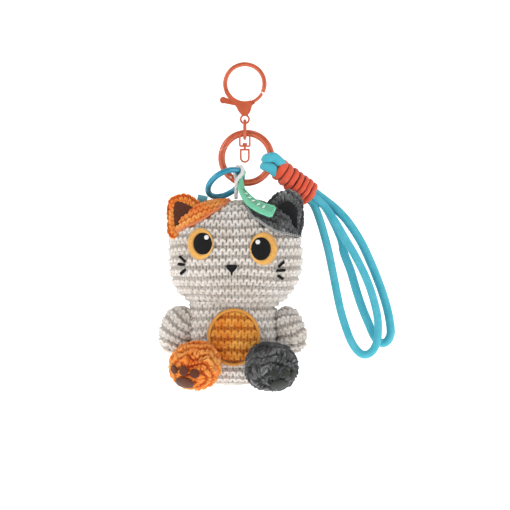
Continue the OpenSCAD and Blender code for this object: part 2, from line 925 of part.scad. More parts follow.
clasp_body();
clasp_gate();
clasp_rivet();
clasp_spring();
chain_link();
swivel_bow();
swivel_loop();
key_ring_body();
key_ring_gate();
key_ring_pin();
spring_ring_body();
spring_ring_gate();
spring_ring_pin();
hang_loop();
silicone_tag();
tag_marks();
side_label();
strap_bight_upper();
strap_bight_lower();
strap_core();
strap_binding();
strap_loop_front();
strap_loop_back();
head_shell();
head_stuffing();
head_patch_orange();
head_patch_grey();
head_seam_orange();
head_seam_grey();
ear_left();
ear_left_lining();
ear_right();
ear_right_lining();
eye_left();
eye_right();
pupil_left();
pupil_right();
eye_glints();
nose();
whiskers_left();
whiskers_right();
neck_seam();
body_shell();
body_stuffing();
belly_patch();
belly_border();
arm_left();
arm_left_stuffing();
arm_right();
arm_right_stuffing();
foot_left();
foot_left_stuffing();
foot_right();
foot_right_stuffing();
paw_pads_left();
paw_pads_right();
tail();
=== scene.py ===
"""The looks of a knitted plush cat keychain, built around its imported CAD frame.

Points are worked out in millimetres in the row frame (+Z up, the cat faces -Y) and become metres
where a mesh is made.
"""

import math

import bpy
import numpy as np
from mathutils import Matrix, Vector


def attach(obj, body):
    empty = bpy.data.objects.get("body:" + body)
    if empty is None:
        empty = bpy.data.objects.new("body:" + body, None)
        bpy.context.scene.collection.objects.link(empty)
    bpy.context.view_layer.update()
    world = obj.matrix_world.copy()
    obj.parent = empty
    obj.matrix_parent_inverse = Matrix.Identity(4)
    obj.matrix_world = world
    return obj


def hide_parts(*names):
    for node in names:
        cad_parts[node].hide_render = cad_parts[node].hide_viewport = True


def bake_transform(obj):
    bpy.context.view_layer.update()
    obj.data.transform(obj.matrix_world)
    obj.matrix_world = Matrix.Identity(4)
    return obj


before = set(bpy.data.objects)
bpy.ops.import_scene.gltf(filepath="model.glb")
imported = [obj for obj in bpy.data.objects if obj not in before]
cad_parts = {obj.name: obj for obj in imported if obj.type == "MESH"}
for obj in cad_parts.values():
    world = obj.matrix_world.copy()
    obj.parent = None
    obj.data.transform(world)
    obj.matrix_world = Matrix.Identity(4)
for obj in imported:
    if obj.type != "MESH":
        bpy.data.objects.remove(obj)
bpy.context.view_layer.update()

MM = 0.001

# ---- Places and sizes in mm: the CAD source's, with some soft parts fitted closer to the photograph ----

HEAD_AT, HEAD_HALF, HEAD_SQUARE = (-5.2, 2.3, -106.1), (38.1, 30.3, 31.7), 2.45
BODY_AT, BODY_HALF, BODY_SQUARE = (-6.9, 3.0, -149.0), (26.5, 22.0, 30.0), 2.6
NECK_Z = -131.3
ARM_AT = ((-37.4, -2.2, -147.6), (25.3, -2.4, -147.3))
ARM_HALF = ((10.2, 9.8, 13.9), (9.3, 9.8, 13.5))
ARM_TILT = (19.0, -17.0)
FOOT_AT = ((-27.4, -24.5, -166.7), (14.5, -24.5, -167.2))
FOOT_HALF = ((14.2, 15.5, 12.9), (15.2, 15.5, 12.9))
TAIL_AT, TAIL_HALF, TAIL_TILT = (2.3, 25.3, -167.2), (5.5, 5.4, 9.0), -28.0
BELLY_AT, BELLY_HALF, BORDER_WIDTH = (-6.0, -151.2), (14.6, 15.9), 1.6
EYE_AT, EYE_HALF = ((-24.8, -99.4), (10.7, -102.1)), ((7.15, 8.8), (7.6, 9.1))
PUPIL_AT, PUPIL_HALF = ((-23.0, -99.4), (8.8, -102.2)), ((5.3, 6.1), (5.6, 6.45))
GLINT_AT, GLINT_RADIUS = ((-20.9, -96.0), (7.1, -98.5)), 1.25
NOSE_AT = (-7.2, -113.4)
# Height from the nose's middle, and half width there.
NOSE_WIDTHS = [(-3.3, 0.5), (-1.9, 0.55), (-1.6, 0.9), (0.2, 2.6), (1.7, 3.3), (2.2, 2.6), (2.5, 0.8)]
WHISKERS = {
    "whiskers_left": [
        ((-36, -106.4), (-32.8, -109.4)), ((-36.8, -110.7), (-33.3, -111)), ((-35.4, -116), (-32.7, -113.6)),
    ],
    "whiskers_right": [
        ((21.6, -109.4), (18.6, -112.2)), ((22.2, -114), (17.7, -114.3)), ((21, -118.8), (18.3, -117)),
    ],
}
# The patches' lower edges on the face, as x and z.
ORANGE_EDGE = [
    (-44.7, -95.4), (-41.6, -94.3), (-36.3, -91.8), (-25.1, -87), (-16.7, -81.4), (-10.5, -76.8), (-7, -74),
]
PATCHES_MEET_X = -3.6
GREY_EDGE = [(-1.4, -73.4), (0.3, -78.2), (4, -84.3), (7.7, -86.7), (13.7, -90.9), (19.7, -93.3), (31, -95.4)]
# Each foot's pads: x, z, half width, half height and tilt.
PADS = (
    [(-39, -168.6, 1.5, 2.5, 10), (-33.6, -169.2, 2.4, 2.8, 0), (-27.4, -170.8, 2.8, 2.6, -10),
     (-33.1, -176.1, 5.3, 2.9, -12)],
    [(16.6, -170.6, 2.2, 2.5, 10), (23, -170.6, 2.2, 2.2, 0), (26.8, -171.7, 1.6, 2.5, -10),
     (19.2, -177.5, 4.9, 3.1, 8)],
)
LIMB_SQUARE, FOOT_SQUARE = 2.3, 2.2
LUMP_SPACING, FLOSS_PITCH = 1.3, 0.42
LOOP_RADII, BIGHT_RADIUS, BIGHT_FLATTEN, CORD_STEP = (2.25, 2.4), 2.75, 0.6, 0.42
FRONT_LOOP = [
    (38.2, 8.4, -76.6), (42.1, 7, -86), (46.6, 6.5, -102), (49.9, 6, -118), (53.6, 6, -136),
    (57.6, 6, -149), (61, 6, -156.4), (64.6, 6, -160.6), (68, 6, -161.6), (71.2, 6, -159.9),
    (73.6, 6, -156), (74.8, 6, -150), (74.5, 6, -140.6), (71.9, 6, -129.2), (67.8, 6, -117.8),
    (62.1, 6, -106.3), (56.4, 6.5, -96.6), (50.7, 7, -86.8), (44.2, 8.4, -77.6),
]
BACK_LOOP = [
    (43.6, 13, -76.4), (49.6, 13.2, -86), (54.4, 13, -97), (55.9, 12.6, -104.6), (59.6, 12.5, -114.5),
    (62.9, 12.5, -125.9), (66.2, 12.5, -135.7), (69.4, 12.5, -143.4), (72.4, 12.5, -150.4),
    (75, 12.5, -154), (78.2, 12.5, -155.2), (81, 12.5, -153), (82.2, 12.5, -148.4),
    (80.9, 12.5, -139), (78.2, 12.5, -129), (75, 12.5, -120), (71.1, 12.5, -110.4),
    (65.4, 12.5, -98.2), (58, 12.6, -86.8), (51.5, 13, -79.8), (46.4, 13, -75.6),
]
BINDING_AT, BINDING_END = np.array([17.8, 2, -56.1]), np.array([37.3, 9.7, -72.7])
# Each turn's width along the binding, and its outer radius.
TURN_WIDTHS = np.array([5.0, 4.4, 3.6, 3.3, 3.1, 3.0, 3.3])
TURN_RADII = np.array([6.2, 6.5, 6.8, 7.1, 7.4, 7.6, 7.4])
KEY_RING_AT, KEY_RING_RADIUS = np.array([0.9, 0, -51.24]), 13.9
BIGHT_ANGLES, BIGHT_BEND = (0.8, -22.8), 3.6
LOOP_CORD, LOOP_BEND = 1.008, 2.8
LOOP_AT = np.array([-3.45, -2.73, -58.6])
LOOP_ACROSS, LOOP_UP = np.array([-0.816, 0.578, 0]), np.array([0.156, 0.221, 0.963])
LOOP_BACK_LEG = [
    (-5, -0.2, -74.3), (-4.9, -0.6, -72.4), (-4.8, -1.6, -70), (-4.6, -3, -67), (-4.6, -3.4, -64.5),
    (-4.7, -3.3, -62.8), (-5.2, -2.8, -61.2), (-5.6, -1.9, -59.8),
]
LOOP_FRONT_LEG = [
    (-1.6, -5.2, -60.2), (-3, -5.7, -61.8), (-4.6, -5.5, -64), (-4.7, -5.3, -67), (-4.8, -4.3, -70),
    (-5, -2.9, -72.4), (-5, -2.5, -74.2),
]
TAG_AT, TAG_AXIS = np.array([-2.24, -0.63, -59.5]), np.array([-0.368, -0.83, 0.417])
TAG_ROUTE = [
    (-2.6, -1.7, -61.75), (-2.4, -3.2, -62.3), (-2.2, -4, -63.6), (-1.9, -4.4, -66.2), (-1.5, -6.7, -69),
    (0.1, -10.8, -71.8), (2.2, -14.6, -74.6), (5.2, -18, -77.2), (8.9, -20.6, -79.3),
    (12.3, -21.8, -80.6), (16.4, -22.6, -81.9),
]
# The tag's width at each point of its route.
TAG_WIDTHS = [2.6, 2.9, 3.3, 4.2, 5.3, 6.3, 7.1, 7.6, 7.9, 8, 7.9]
TAG_THICKNESS, TAG_SINK, TAG_END_WIDTH = 1.8, 0.55, np.array([-0.356, -0.558, -0.744])
# Half of the hoop's section: radius, and half height there.
TAG_HOOP = [(1.95, 1.0), (2.15, 1.12), (2.55, 1.12), (2.75, 0.9)]
LABEL_AT, LABEL_SIZE, LABEL_TILT = np.array([-24.1, 4.1, -75.2]), (5.6, 1.4, 6.4), 12.0
EAR_OUTLINES = {
    "left": [(-41.9, -95.8), (-43.6, -86.1), (-44.1, -79.6), (-42.2, -73.5), (-36.8, -71.3), (-31.5, -71.6),
             (-27.8, -73.5), (-23.5, -76.8), (-17.5, -84.5), (-20, -93), (-31, -97)],
    "right": [(30.4, -95.8), (32.6, -90), (33.4, -81.8), (32.6, -75.2), (29.2, -70.6), (23.8, -68.5),
              (17.6, -70.6), (12.4, -75.7), (7.5, -82.5), (10, -92), (21, -98)],
}
# Depth, thickness and forward lean of each ear.
EAR_PLACE = {"left": (-1.4, 3.2, 0.55), "right": (-3.1, 2.9, 0.35)}
LININGS = {
    "left": [(-39.2, -76.8), (-37, -75.6), (-33, -77.2), (-27.9, -80.2), (-30.6, -84.4), (-35.6, -90.8),
             (-38.1, -91.8), (-39.6, -84)],
    "right": [(17.6, -80.4), (20.4, -77.2), (24, -75.6), (26.8, -77), (28.8, -81.5), (29.2, -90.6),
              (27.6, -91.6), (22.4, -85.4)],
}
EAR_TIP_Z, EAR_STEP = -76, 0.34
SIDES = ("left", "right")
METAL_NODES = {
    "coral_metal": ["clasp_body", "clasp_gate", "clasp_rivet", "chain_link", "swivel_bow", "swivel_loop",
                    "key_ring_body", "key_ring_gate"],
    "teal_metal": ["spring_ring_body", "spring_ring_gate"],
    "steel": ["clasp_spring", "key_ring_pin", "spring_ring_pin"],
}
ROUNDED_NODES = ("clasp_body", "clasp_gate", "swivel_bow", "swivel_loop")
LINK_SWELL = 0.22

# ---- Small geometry helpers ----


def unit(v):
    v = np.asarray(v, float)
    return v / np.linalg.norm(v, axis=-1, keepdims=True)


def square_to(v, along):
    return unit(np.asarray(v, float) - np.dot(v, along) * along)


def power(t, e):
    return np.sign(t) * np.abs(t) ** e


def cos_sin(degrees):
    return math.cos(math.radians(degrees)), math.sin(math.radians(degrees))


def circle(count):
    """Angles evenly round a circle."""
    return np.arange(count) * 2 * math.pi / count


def arc(middle, radius, first, second, degrees):
    """Points round a middle, at angles from one direction towards another."""
    return [middle + radius * (c * first + s * second) for c, s in map(cos_sin, degrees)]


def headings(line):
    return unit(np.gradient(line, axis=0))


def run_along(line):
    """Distance along a line at each of its points."""
    return np.concatenate([[0], np.cumsum(np.linalg.norm(np.diff(line, axis=0), axis=1))])


def fade(value, low, high):
    """0 below low, 1 above high, smooth between."""
    t = np.clip((value - low) / (high - low), 0, 1)
    return t * t * (3 - 2 * t)


def smooth(points, steps, closed=False):
    """Catmull-Rom points, steps to each span."""
    p = np.asarray(points, float)
    n = len(p)
    out = []
    for i in range(n if closed else n - 1):
        a = p[(i - 1) % n] if closed else p[max(i - 1, 0)]
        b, c = p[i], p[(i + 1) % n]
        e = p[(i + 2) % n] if closed else p[min(i + 2, n - 1)]
        for t in np.arange(steps) / steps:
            out.append(
                0.5 * (2 * b + (c - a) * t + (2 * a - 5 * b + 4 * c - e) * t * t
                       + (3 * b - 3 * c + e - a) * t ** 3)
            )
    if not closed:
        out.append(p[-1])
    return np.array(out)


def spaced(points, spacing, closed=False):
    """The same line with even spacing."""
    p = np.asarray(points, float)
    if closed:
        p = np.vstack([p, p[:1]])
    along = run_along(p)
    count = max(int(round(along[-1] / spacing)), 3)
    at = np.linspace(0, along[-1], count + 1)
    if closed:
        at = at[:-1]
    return np.stack([np.interp(at, along, p[:, k]) for k in range(p.shape[1])], 1)


def turned(degrees, axis):
    """Rotation matrix about x (0), y (1) or z (2)."""
    c, s = cos_sin(degrees)
    i, j = [(1, 2), (2, 0), (0, 1)][axis]
    m = np.eye(3)
    m[i, i] = m[j, j] = c
    m[i, j], m[j, i] = -s, s
    return m


class Wander:
    """A smooth random field: a few sine waves in seeded directions."""

    def __init__(self, seed, wavelength, size):
        rng = np.random.default_rng(seed)
        self.waves = unit(rng.normal(size=(7, 3))) * (2 * math.pi / wavelength)
        self.waves *= rng.uniform(0.6, 1.5, (7, 1))
        self.phases = rng.uniform(0, 2 * math.pi, 7)
        self.size = size / math.sqrt(3.5)

    def __call__(self, points):
        return self.size * np.sin(points @ self.waves.T + self.phases).sum(-1)


def grid_faces(rows, columns, wrap=True):
    last = columns if wrap else columns - 1
    j, i = np.meshgrid(np.arange(rows - 1), np.arange(last), indexing="ij")
    a = j * columns + i
    b = j * columns + (i + 1) % columns
    return np.stack([a, b, b + columns, a + columns], -1).reshape(-1, 4).tolist()


def closed_grid(points, layers=None):
    """A closed skin over rings of points (rows, columns, 3): each end closes on its middle."""
    rows, columns = points.shape[:2]
    flat = points.reshape(-1, 3)
    ends = [points[0].mean(0), points[-1].mean(0)]
    faces = grid_faces(rows, columns)
    low, high = len(flat), len(flat) + 1
    top = (rows - 1) * columns
    for i in range(columns):
        k = (i + 1) % columns
        faces.append([low, k, i])
        faces.append([high, top + i, top + k])
    made = {}
    for name, values in (layers or {}).items():
        made[name] = np.concatenate([values.ravel(), [values[0].mean(), values[-1].mean()]])
    return np.vstack([flat, ends]), faces, made


def flipped(shape):
    """The same shape with its faces turned over."""
    points, faces, layers = shape
    return points, [face[::-1] for face in faces], layers


def joined(shapes):
    """Several (points, faces, layers) as one."""
    points, faces, layers, start = [], [], {}, 0
    for p, f, extra in shapes:
        points.append(p)
        faces += [[v + start for v in face] for face in f]
        for name, values in extra.items():
            layers.setdefault(name, []).append(values)
        start += len(p)
    return np.vstack(points), faces, {n: np.concatenate(v) for n, v in layers.items()}


def add_object(name, data):
    obj = bpy.data.objects.new(name, data)
    bpy.context.scene.collection.objects.link(obj)
    return obj


def piece(name, shape, slot, body=None, finish=None):
    """A mesh piece that rides on a body and stands for the CAD node of its name."""
    points, faces, layers = shape
    mesh = bpy.data.meshes.new(name)
    mesh.from_pydata((points * MM).tolist(), [], faces)
    for layer, values in layers.items():
        attribute = mesh.attributes.new(layer, "FLOAT", "POINT")
        attribute.data.foreach_set("value", np.asarray(values, np.float32))
    mesh.materials.append(FINISHES[finish or slot])
    mesh.shade_smooth()
    obj = add_object(name, mesh)
    if body:
        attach(obj, body)
    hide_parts(name)
    return obj


def round_edges(obj, name, width, segments, sharp):
    """A bevel on the edges that turn by more than an angle in degrees."""
    bevel = obj.modifiers.new(name, "BEVEL")
    bevel.width = width * MM
    bevel.segments = segments
    bevel.limit_method = "ANGLE"
    bevel.angle_limit = math.radians(sharp)

# ---- Camera ----


def make_camera():
    """Level with the middle of the photograph's view, far enough back for its flat perspective."""
    distance, view_width, middle = 2000.0, 285.6, (5.7, -105.6)
    data = bpy.data.cameras.new("camera")
    camera = add_object("camera", data)
    camera.location = (middle[0] * MM, -distance * MM, middle[1] * MM)
    camera.rotation_euler = (math.pi / 2, 0, 0)
    data.sensor_width = 36
    data.lens = 36 * distance / view_width
    data.clip_end = 20
    bpy.context.scene.camera = camera

# ---- Materials ----


class Finish:
    """A node material under construction."""

    def __init__(self, name, color, roughness=0.8, metallic=0.0, **sockets):
        self.material = bpy.data.materials.new(name)
        self.material.use_nodes = True
        self.material.diffuse_color = (*color, 1)
        self.nodes = self.material.node_tree.nodes
        self.shader = self.nodes["Principled BSDF"]
        self.put(self.shader, "Base Color", (*color, 1))
        self.put(self.shader, "Roughness", roughness)
        self.put(self.shader, "Metallic", metallic)
        for socket, value in sockets.items():
            self.put(self.shader, socket.replace("_", " "), value)

    def put(self, node, socket, value):
        target = node.inputs[socket]
        if isinstance(value, bpy.types.NodeSocket):
            self.material.node_tree.links.new(value, target)
        else:
            target.default_value = value

    def node(self, kind, inputs=None, **settings):
        made = self.nodes.new("ShaderNode" + kind)
        for key, value in settings.items():
            setattr(made, key, value)
        for socket, value in (inputs or {}).items():
            self.put(made, socket, value)
        return made

    def layer(self, name):
        return self.node("Attribute", attribute_name=name).outputs["Fac"]

    def math(self, operation, a, b=0.0):
        return self.node("Math", {0: a, 1: b}, operation=operation).outputs[0]

    def place(self):
        return self.node("TexCoord").outputs["Object"]

    def noise(self, scale, detail=3.0, vector=None, roughness=0.6):
        inputs = {"Scale": scale, "Detail": detail, "Roughness": roughness}
        inputs["Vector"] = vector or self.place()
        return self.node("TexNoise", inputs).outputs["Fac"]

    def ramp(self, value, *stops):
        made = self.node("ValToRGB", {"Fac": value})
        elements = made.color_ramp.elements
        while len(elements) < len(stops):
            elements.new(0.5)
        for element, (position, color) in zip(elements, stops):
            element.position = position
            element.color = (*color, 1)
        return made.outputs["Color"]

    def ramp_value(self, value, low, high):
        """0 below low, 1 above high."""
        made = self.node("MapRange", {"Value": value, "From Min": low, "From Max": high})
        made.clamp = True
        return made.outputs["Result"]

    def mix(self, amount, a, b, blend="MIX"):
        made = self.nodes.new("ShaderNodeMix")
        made.data_type = "RGBA"
        made.blend_type = blend
        self.put(made, "Factor", amount)
        for socket, value in ((6, a), (7, b)):
            value = value if isinstance(value, bpy.types.NodeSocket) else (*value, 1)
            self.put(made, socket, value)
        return made.outputs[2]

    def bump(self, height, distance, strength=1.0, under=None):
        inputs = {"Height": height, "Distance": distance * MM, "Strength": strength}
        if under:
            inputs["Normal"] = under
        return self.node("Bump", inputs).outputs["Normal"]

    def color_from(self, socket):
        self.put(self.shader, "Base Color", socket)

    def normal_from(self, socket):
        self.put(self.shader, "Normal", socket)

    def roughness_from(self, value, low, high):
        made = self.node("MapRange", {"Value": value, "To Min": low, "To Max": high})
        self.put(self.shader, "Roughness", made.outputs["Result"])


def tint(color, factor):
    return tuple(min(max(c * factor, 0), 1) for c in color)


def knit_finish(name, deep, mid, light, fleck=None, fleck_share=0.5):
    """Plied wool: painted shade between the stitches and painted highlight on their tops, with fibres along
    the yarn.
    """
    f = Finish(name, mid, 0.88, Sheen_Weight=0.12, Sheen_Roughness=0.45, Specular_IOR_Level=0.2)
    height, along, side = f.layer("yarn_height"), f.layer("yarn_along"), f.layer("yarn_side")
    # Painted shade and highlight: the ramp darkens the wool where the yarn lies low between the stitches and
    # lightens the stitch tops.
    shade = f.ramp(height, (0.08, deep), (0.5, mid), (0.9, light))
    fibre_axes = {"X": f.math("MULTIPLY", along, 0.35), "Y": side, "Z": f.math("MULTIPLY", height, 0.6)}
    fibre_place = f.node("CombineXYZ", fibre_axes).outputs[0]
    fibre = f.noise(3.2, 4.0, fibre_place, 0.7)
    shade = f.mix(f.math("MULTIPLY", f.ramp_value(fibre, 0.42, 0.68), 0.5), shade, tint(mid, 0.62))
    if fleck:
        spots = f.noise(0.9, 4.0, fibre_place, 0.75)
        shade = f.mix(f.ramp_value(spots, 0.56 - 0.2 * fleck_share, 0.66), shade, fleck)
    wash = f.noise(90.0, 2.0)
    shade = f.mix(f.ramp_value(wash, 0.35, 0.7), shade, tint(light, 1.04), "MULTIPLY")
    f.color_from(shade)
    twist = f.math("ADD", f.math("MULTIPLY", along, 4.4), f.math("MULTIPLY", side, 5.5))
    normal = f.bump(f.math("SINE", twist), 0.10, 0.55)
    normal = f.bump(fibre, 0.22, 0.5, normal)
    normal = f.bump(f.noise(4200.0, 2.0), 0.06, 0.5, normal)
    f.normal_from(normal)
    f.roughness_from(fibre, 0.8, 1.0)
    return f.material


def satin_finish(name, color, shine=0.35):
    """Embroidery floss: smooth threads with a soft gloss."""
    dark = max(color) < 0.1
    f = Finish(name, color, 0.45, Sheen_Weight=0.03 if dark else 0.2, Sheen_Roughness=0.4,
               Specular_IOR_Level=0.22 if dark else 0.4)
    strand_shade = f.layer("strand_shade")
    grain = f.noise(5200.0, 2.0)
    # Painted shade: the ramp darkens the floss on each stitch's sides and between its threads, and lightens
    # the stitch tops as painted highlight.
    shade = f.ramp(strand_shade, (0.1, tint(color, 0.5)), (0.6, tint(color, 0.92)), (1.0, tint(color, 1.15)))
    f.color_from(f.mix(f.ramp_value(grain, 0.3, 0.75), tint(color, 0.8), shade))
    f.roughness_from(grain, shine, shine + 0.25)
    f.normal_from(f.bump(grain, 0.04, 0.5))
    return f.material


def felt_finish(name, color):
    f = Finish(name, color, 0.95, Sheen_Weight=0.12, Sheen_Roughness=0.6, Specular_IOR_Level=0.15)
    mat = f.noise(900.0, 6.0, roughness=0.75)
    hairs = f.noise(3600.0, 3.0)
    shade = f.ramp(mat, (0.3, tint(color, 0.55)), (0.5, color), (0.72, tint(color, 1.7)))
    f.color_from(f.mix(f.ramp_value(hairs, 0.4, 0.75), shade, tint(color, 1.9)))
    f.normal_from(f.bump(hairs, 0.12, 0.6, f.bump(mat, 0.3, 0.6)))
    f.roughness_from(mat, 0.85, 1.0)
    return f.material


def braid_finish(name, color, gloss=0.55, crease_shade=False):
    """Braided cord: the weave is in the mesh, the threads in the bump; its colour has painted shade in the
    weave's hollows, painted highlight on the raised strands, and painted shade where turns touch.
    """
    f = Finish(name, color, gloss, Sheen_Weight=0.2, Sheen_Roughness=0.4)
    weave = f.layer("weave")
    grain = f.noise(3800.0, 3.0)
    slow = f.noise(160.0, 2.0)
    # Painted shade and highlight: darker where the weave sinks, lighter where it rises.
    shade = f.ramp(weave, (0.0, tint(color, 0.72)), (0.5, color), (1.0, tint(color, 1.22)))
    shade = f.mix(f.ramp_value(grain, 0.5, 0.8), shade, tuple(0.55 * c + 0.40 for c in color))
    shade = f.mix(f.ramp_value(slow, 0.3, 0.75), tint(color, 0.9), shade)
    if crease_shade:
        # Painted shade where one turn of the binding touches the next, at the section's sides.
        shade = f.mix(f.ramp_value(f.layer("edge"), 0.66, 0.93), shade, tint(color, 0.16))
    f.color_from(shade)
    f.roughness_from(grain, gloss, gloss + 0.3)
    f.normal_from(f.bump(grain, 0.06, 0.5))
    return f.material


def enamel_finish(name, color):
    """Painted metal: a lacquer coat over colour, a little darker and duller where it has rubbed."""
    f = Finish(name, color, 0.34, 0.25, Coat_Weight=0.35, Coat_Roughness=0.18)
    cloud = f.noise(220.0, 4.0)
    speck = f.noise(2600.0, 3.0)
    shade = f.ramp(cloud, (0.25, tint(color, 0.84)), (0.6, color), (0.85, tint(color, 1.1)))
    f.color_from(f.mix(f.ramp_value(speck, 0.62, 0.8), shade, tint(color, 0.7)))
    f.roughness_from(cloud, 0.26, 0.5)
    f.normal_from(f.bump(speck, 0.015, 0.5, f.bump(cloud, 0.05, 0.3)))
    return f.material


def steel_finish():
    color = (0.62, 0.62, 0.63)
    f = Finish("steel", color, 0.3, 1.0)
    brushed = f.noise(1400.0, 4.0)
    f.color_from(f.ramp(brushed, (0.3, tint(color, 0.75)), (0.7, tint(color, 1.15))))
    f.roughness_from(brushed, 0.22, 0.45)
    f.normal_from(f.bump(brushed, 0.02, 0.4))
    return f.material


def silicone_finish(name, color):
    f = Finish(name, color, 0.5, Subsurface_Weight=0.15, Subsurface_Scale=0.002, Coat_Weight=0.1)
    mottle = f.noise(500.0, 4.0)
    fine = f.noise(5000.0, 2.0)
    shade = f.ramp(mottle, (0.3, tint(color, 0.92)), (0.7, tint(color, 1.08)))
    # Painted shade: the tag's sunk band between its rims is darkened.
    f.color_from(f.mix(f.math("MULTIPLY", f.layer("sunk"), 0.5), shade, tint(color, 0.55)))
    f.roughness_from(mottle, 0.42, 0.62)
    f.normal_from(f.bump(fine, 0.02, 0.5))
    return f.material


def ribbon_finish():
    color = (0.16, 0.56, 0.72)
    f = Finish("label_ribbon", color, 0.6, Sheen_Weight=0.3)
    threads = {"Scale": 1600.0, "Distortion": 0.4, "Vector": f.place()}
    warp, weft = (f.node("TexWave", threads, bands_direction=way).outputs["Fac"] for way in "XZ")
    weave = f.math("MULTIPLY", warp, weft)
    f.color_from(f.ramp(weave, (0.0, tint(color, 0.75)), (0.8, tint(color, 1.15))))
    f.normal_from(f.bump(weave, 0.05, 0.6))
    f.roughness_from(weave, 0.5, 0.75)
    return f.material


def knit_finishes():
    """Each wool's painted shade colour between the stitches, its middle colour and its painted highlight
    colour on the stitch tops, and the grey one's flecks.
    """
    cream, charcoal, fleck = (0.79, 0.745, 0.70), (0.062, 0.063, 0.067), (0.36, 0.36, 0.355)
    wools = {
        "cream_knit": ((0.24, 0.205, 0.17), tint(cream, 0.84), tint(cream, 1.05)),
        "orange_knit": ((0.34, 0.04, 0.007), (0.85, 0.265, 0.043), (0.95, 0.44, 0.115)),
        "grey_knit": ((0.005, 0.005, 0.006), charcoal, (0.15, 0.153, 0.16), fleck, 0.4),
        "mustard_knit": ((0.28, 0.07, 0.008), (0.68, 0.27, 0.04), (0.84, 0.42, 0.085)),
    }
    return {name: knit_finish(name, *colors) for name, colors in wools.items()}


def satin_finishes():
    """Each floss's colour, and its shine where it isn't the usual one."""
    flosses = {
        "embroidery_yellow": ((0.90, 0.48, 0.11),),
        "embroidery_black": ((0.005, 0.005, 0.006), 0.6),
        "embroidery_white": ((0.86, 0.86, 0.86),),
        "border_mustard": ((0.80, 0.36, 0.06),),
        "seam_orange": ((0.98, 0.32, 0.13),),
        "seam_grey": ((0.50, 0.50, 0.49),),
        "white_thread": ((0.74, 0.72, 0.68), 0.6),
    }
    return {name: satin_finish(name, *look) for name, look in flosses.items()}


def make_finishes():
    return {
        "coral_metal": enamel_finish("coral_metal", (0.58, 0.105, 0.036)),
        "teal_metal": enamel_finish("teal_metal", (0.014, 0.27, 0.42)),
        "steel": steel_finish(),
        "cyan_cord": braid_finish("cyan_cord", (0.045, 0.44, 0.56)),
        # The coral cord also gets painted shade where its turns touch.
        "coral_cord": braid_finish("coral_cord", (0.74, 0.085, 0.03), 0.8, crease_shade=True),
        "white_cord": braid_finish("white_cord", (0.78, 0.77, 0.75), 0.8),
        "mint_silicone": silicone_finish("mint_silicone", (0.155, 0.58, 0.36)),
        "white_print": silicone_finish("white_print", (0.88, 0.92, 0.88)),
        "label_ribbon": ribbon_finish(),
        "brown_felt": felt_finish("brown_felt", (0.075, 0.021, 0.009)),
        "black_felt": felt_finish("black_felt", (0.006, 0.006, 0.007)),
        "green_felt": felt_finish("green_felt", (0.020, 0.022, 0.018)),
        "stuffing": felt_finish("stuffing", (0.8, 0.8, 0.78)),
        **knit_finishes(),
        **satin_finishes(),
    }


FINISHES = make_finishes()

# ---- Knitting ----


class Stitches:
    """One repeat of garter stitch as a height map: a knit course and a purl course, one stitch wide."""

    def __init__(self, width, course, yarn, bulge, rise, reach=0.92):
        self.width, self.course = width, course
        cell = 0.075
        columns, rows = int(round(width / cell)), int(round(2 * course / cell))
        x, y = np.meshgrid((np.arange(columns) + 0.5) * width / columns,
                           (np.arange(rows) + 0.5) * 2 * course / rows)
        self.height = np.full(x.shape, -0.55)
        self.along, self.side = np.zeros(x.shape), np.zeros(x.shape)
        turn = np.linspace(-2 * math.pi, 4 * math.pi, 420)
        for row in (-2, -1, 0, 1, 2, 3):
            face = -1 if row % 2 == 0 else 1
            line_x = width * turn / (2 * math.pi) + bulge * np.sin(2 * turn)
            line_y = row * course - reach * course * np.cos(turn) + 0.5 * course
            line_z = face * rise * np.cos(turn) * (1.0 if face < 0 else 0.7)
            step = np.hypot(np.gradient(line_x), np.gradient(line_y))
            run = np.cumsum(step)
            for px, py, pz, pr, dx, dy in zip(line_x, line_y, line_z, run,
                                              np.gradient(line_x) / step, np.gradient(line_y) / step):
                if not -yarn < px < width + yarn or not -yarn < py < 2 * course + yarn:
                    continue
                ex, ey = x - px, y - py
                squared = ex ** 2 + ey ** 2
                top = pz + np.sqrt(np.maximum(yarn ** 2 - squared, 0))
                better = (squared < yarn ** 2) & (top > self.height)
                self.height[better] = top[better]
                self.along[better] = pr + 31.7 * row
                self.side[better] = (ey * dx - ex * dy)[better]
        self.per_stitch = run[-1] / 3
        self.height = self.soften(self.height)
        self.low, self.high = self.height.min(), self.height.max()

    @staticmethod
    def soften(h):
        for axis in (0, 1):
            h = 0.25 * np.roll(h, 1, axis) + 0.5 * h + 0.25 * np.roll(h, -1, axis)
        return h

    def __call__(self, across, up):
        """Height in mm below the tops and the yarn's layers, at stitch counts across and repeats up."""
        rows, columns = self.height.shape
        fx, fy = (across % 1) * columns - 0.5, (up % 1) * rows - 0.5
        i, j = np.floor(fx).astype(int), np.floor(fy).astype(int)
        tx, ty = fx - i, fy - j
        i0, i1, j0, j1 = i % columns, (i + 1) % columns, j % rows, (j + 1) % rows
        h = self.height
        value = ((1 - ty) * ((1 - tx) * h[j0, i0] + tx * h[j0, i1])
                 + ty * ((1 - tx) * h[j1, i0] + tx * h[j1, i1]))
        at = (np.clip(np.round((up % 1) * rows - 0.5).astype(int), 0, rows - 1),
              np.clip(np.round((across % 1) * columns - 0.5).astype(int), 0, columns - 1))
        # yarn_height also steers the painted shade between the stitches and the painted highlight on their
        # tops.
        layers = {
            "yarn_height": (value - self.low) / (self.high - self.low),
            "yarn_along": self.along[at] + np.floor(across) * self.per_stitch + 17.3 * np.floor(up),
            "yarn_side": self.side[at],
        }
        return value - self.high, layers


STITCHES = Stitches(width=3.8, course=2.95, yarn=0.9, bulge=0.42, rise=1.05)
CHUNKY = Stitches(width=3.5, course=2.7, yarn=0.84, bulge=0.5, rise=1.0, reach=0.95)


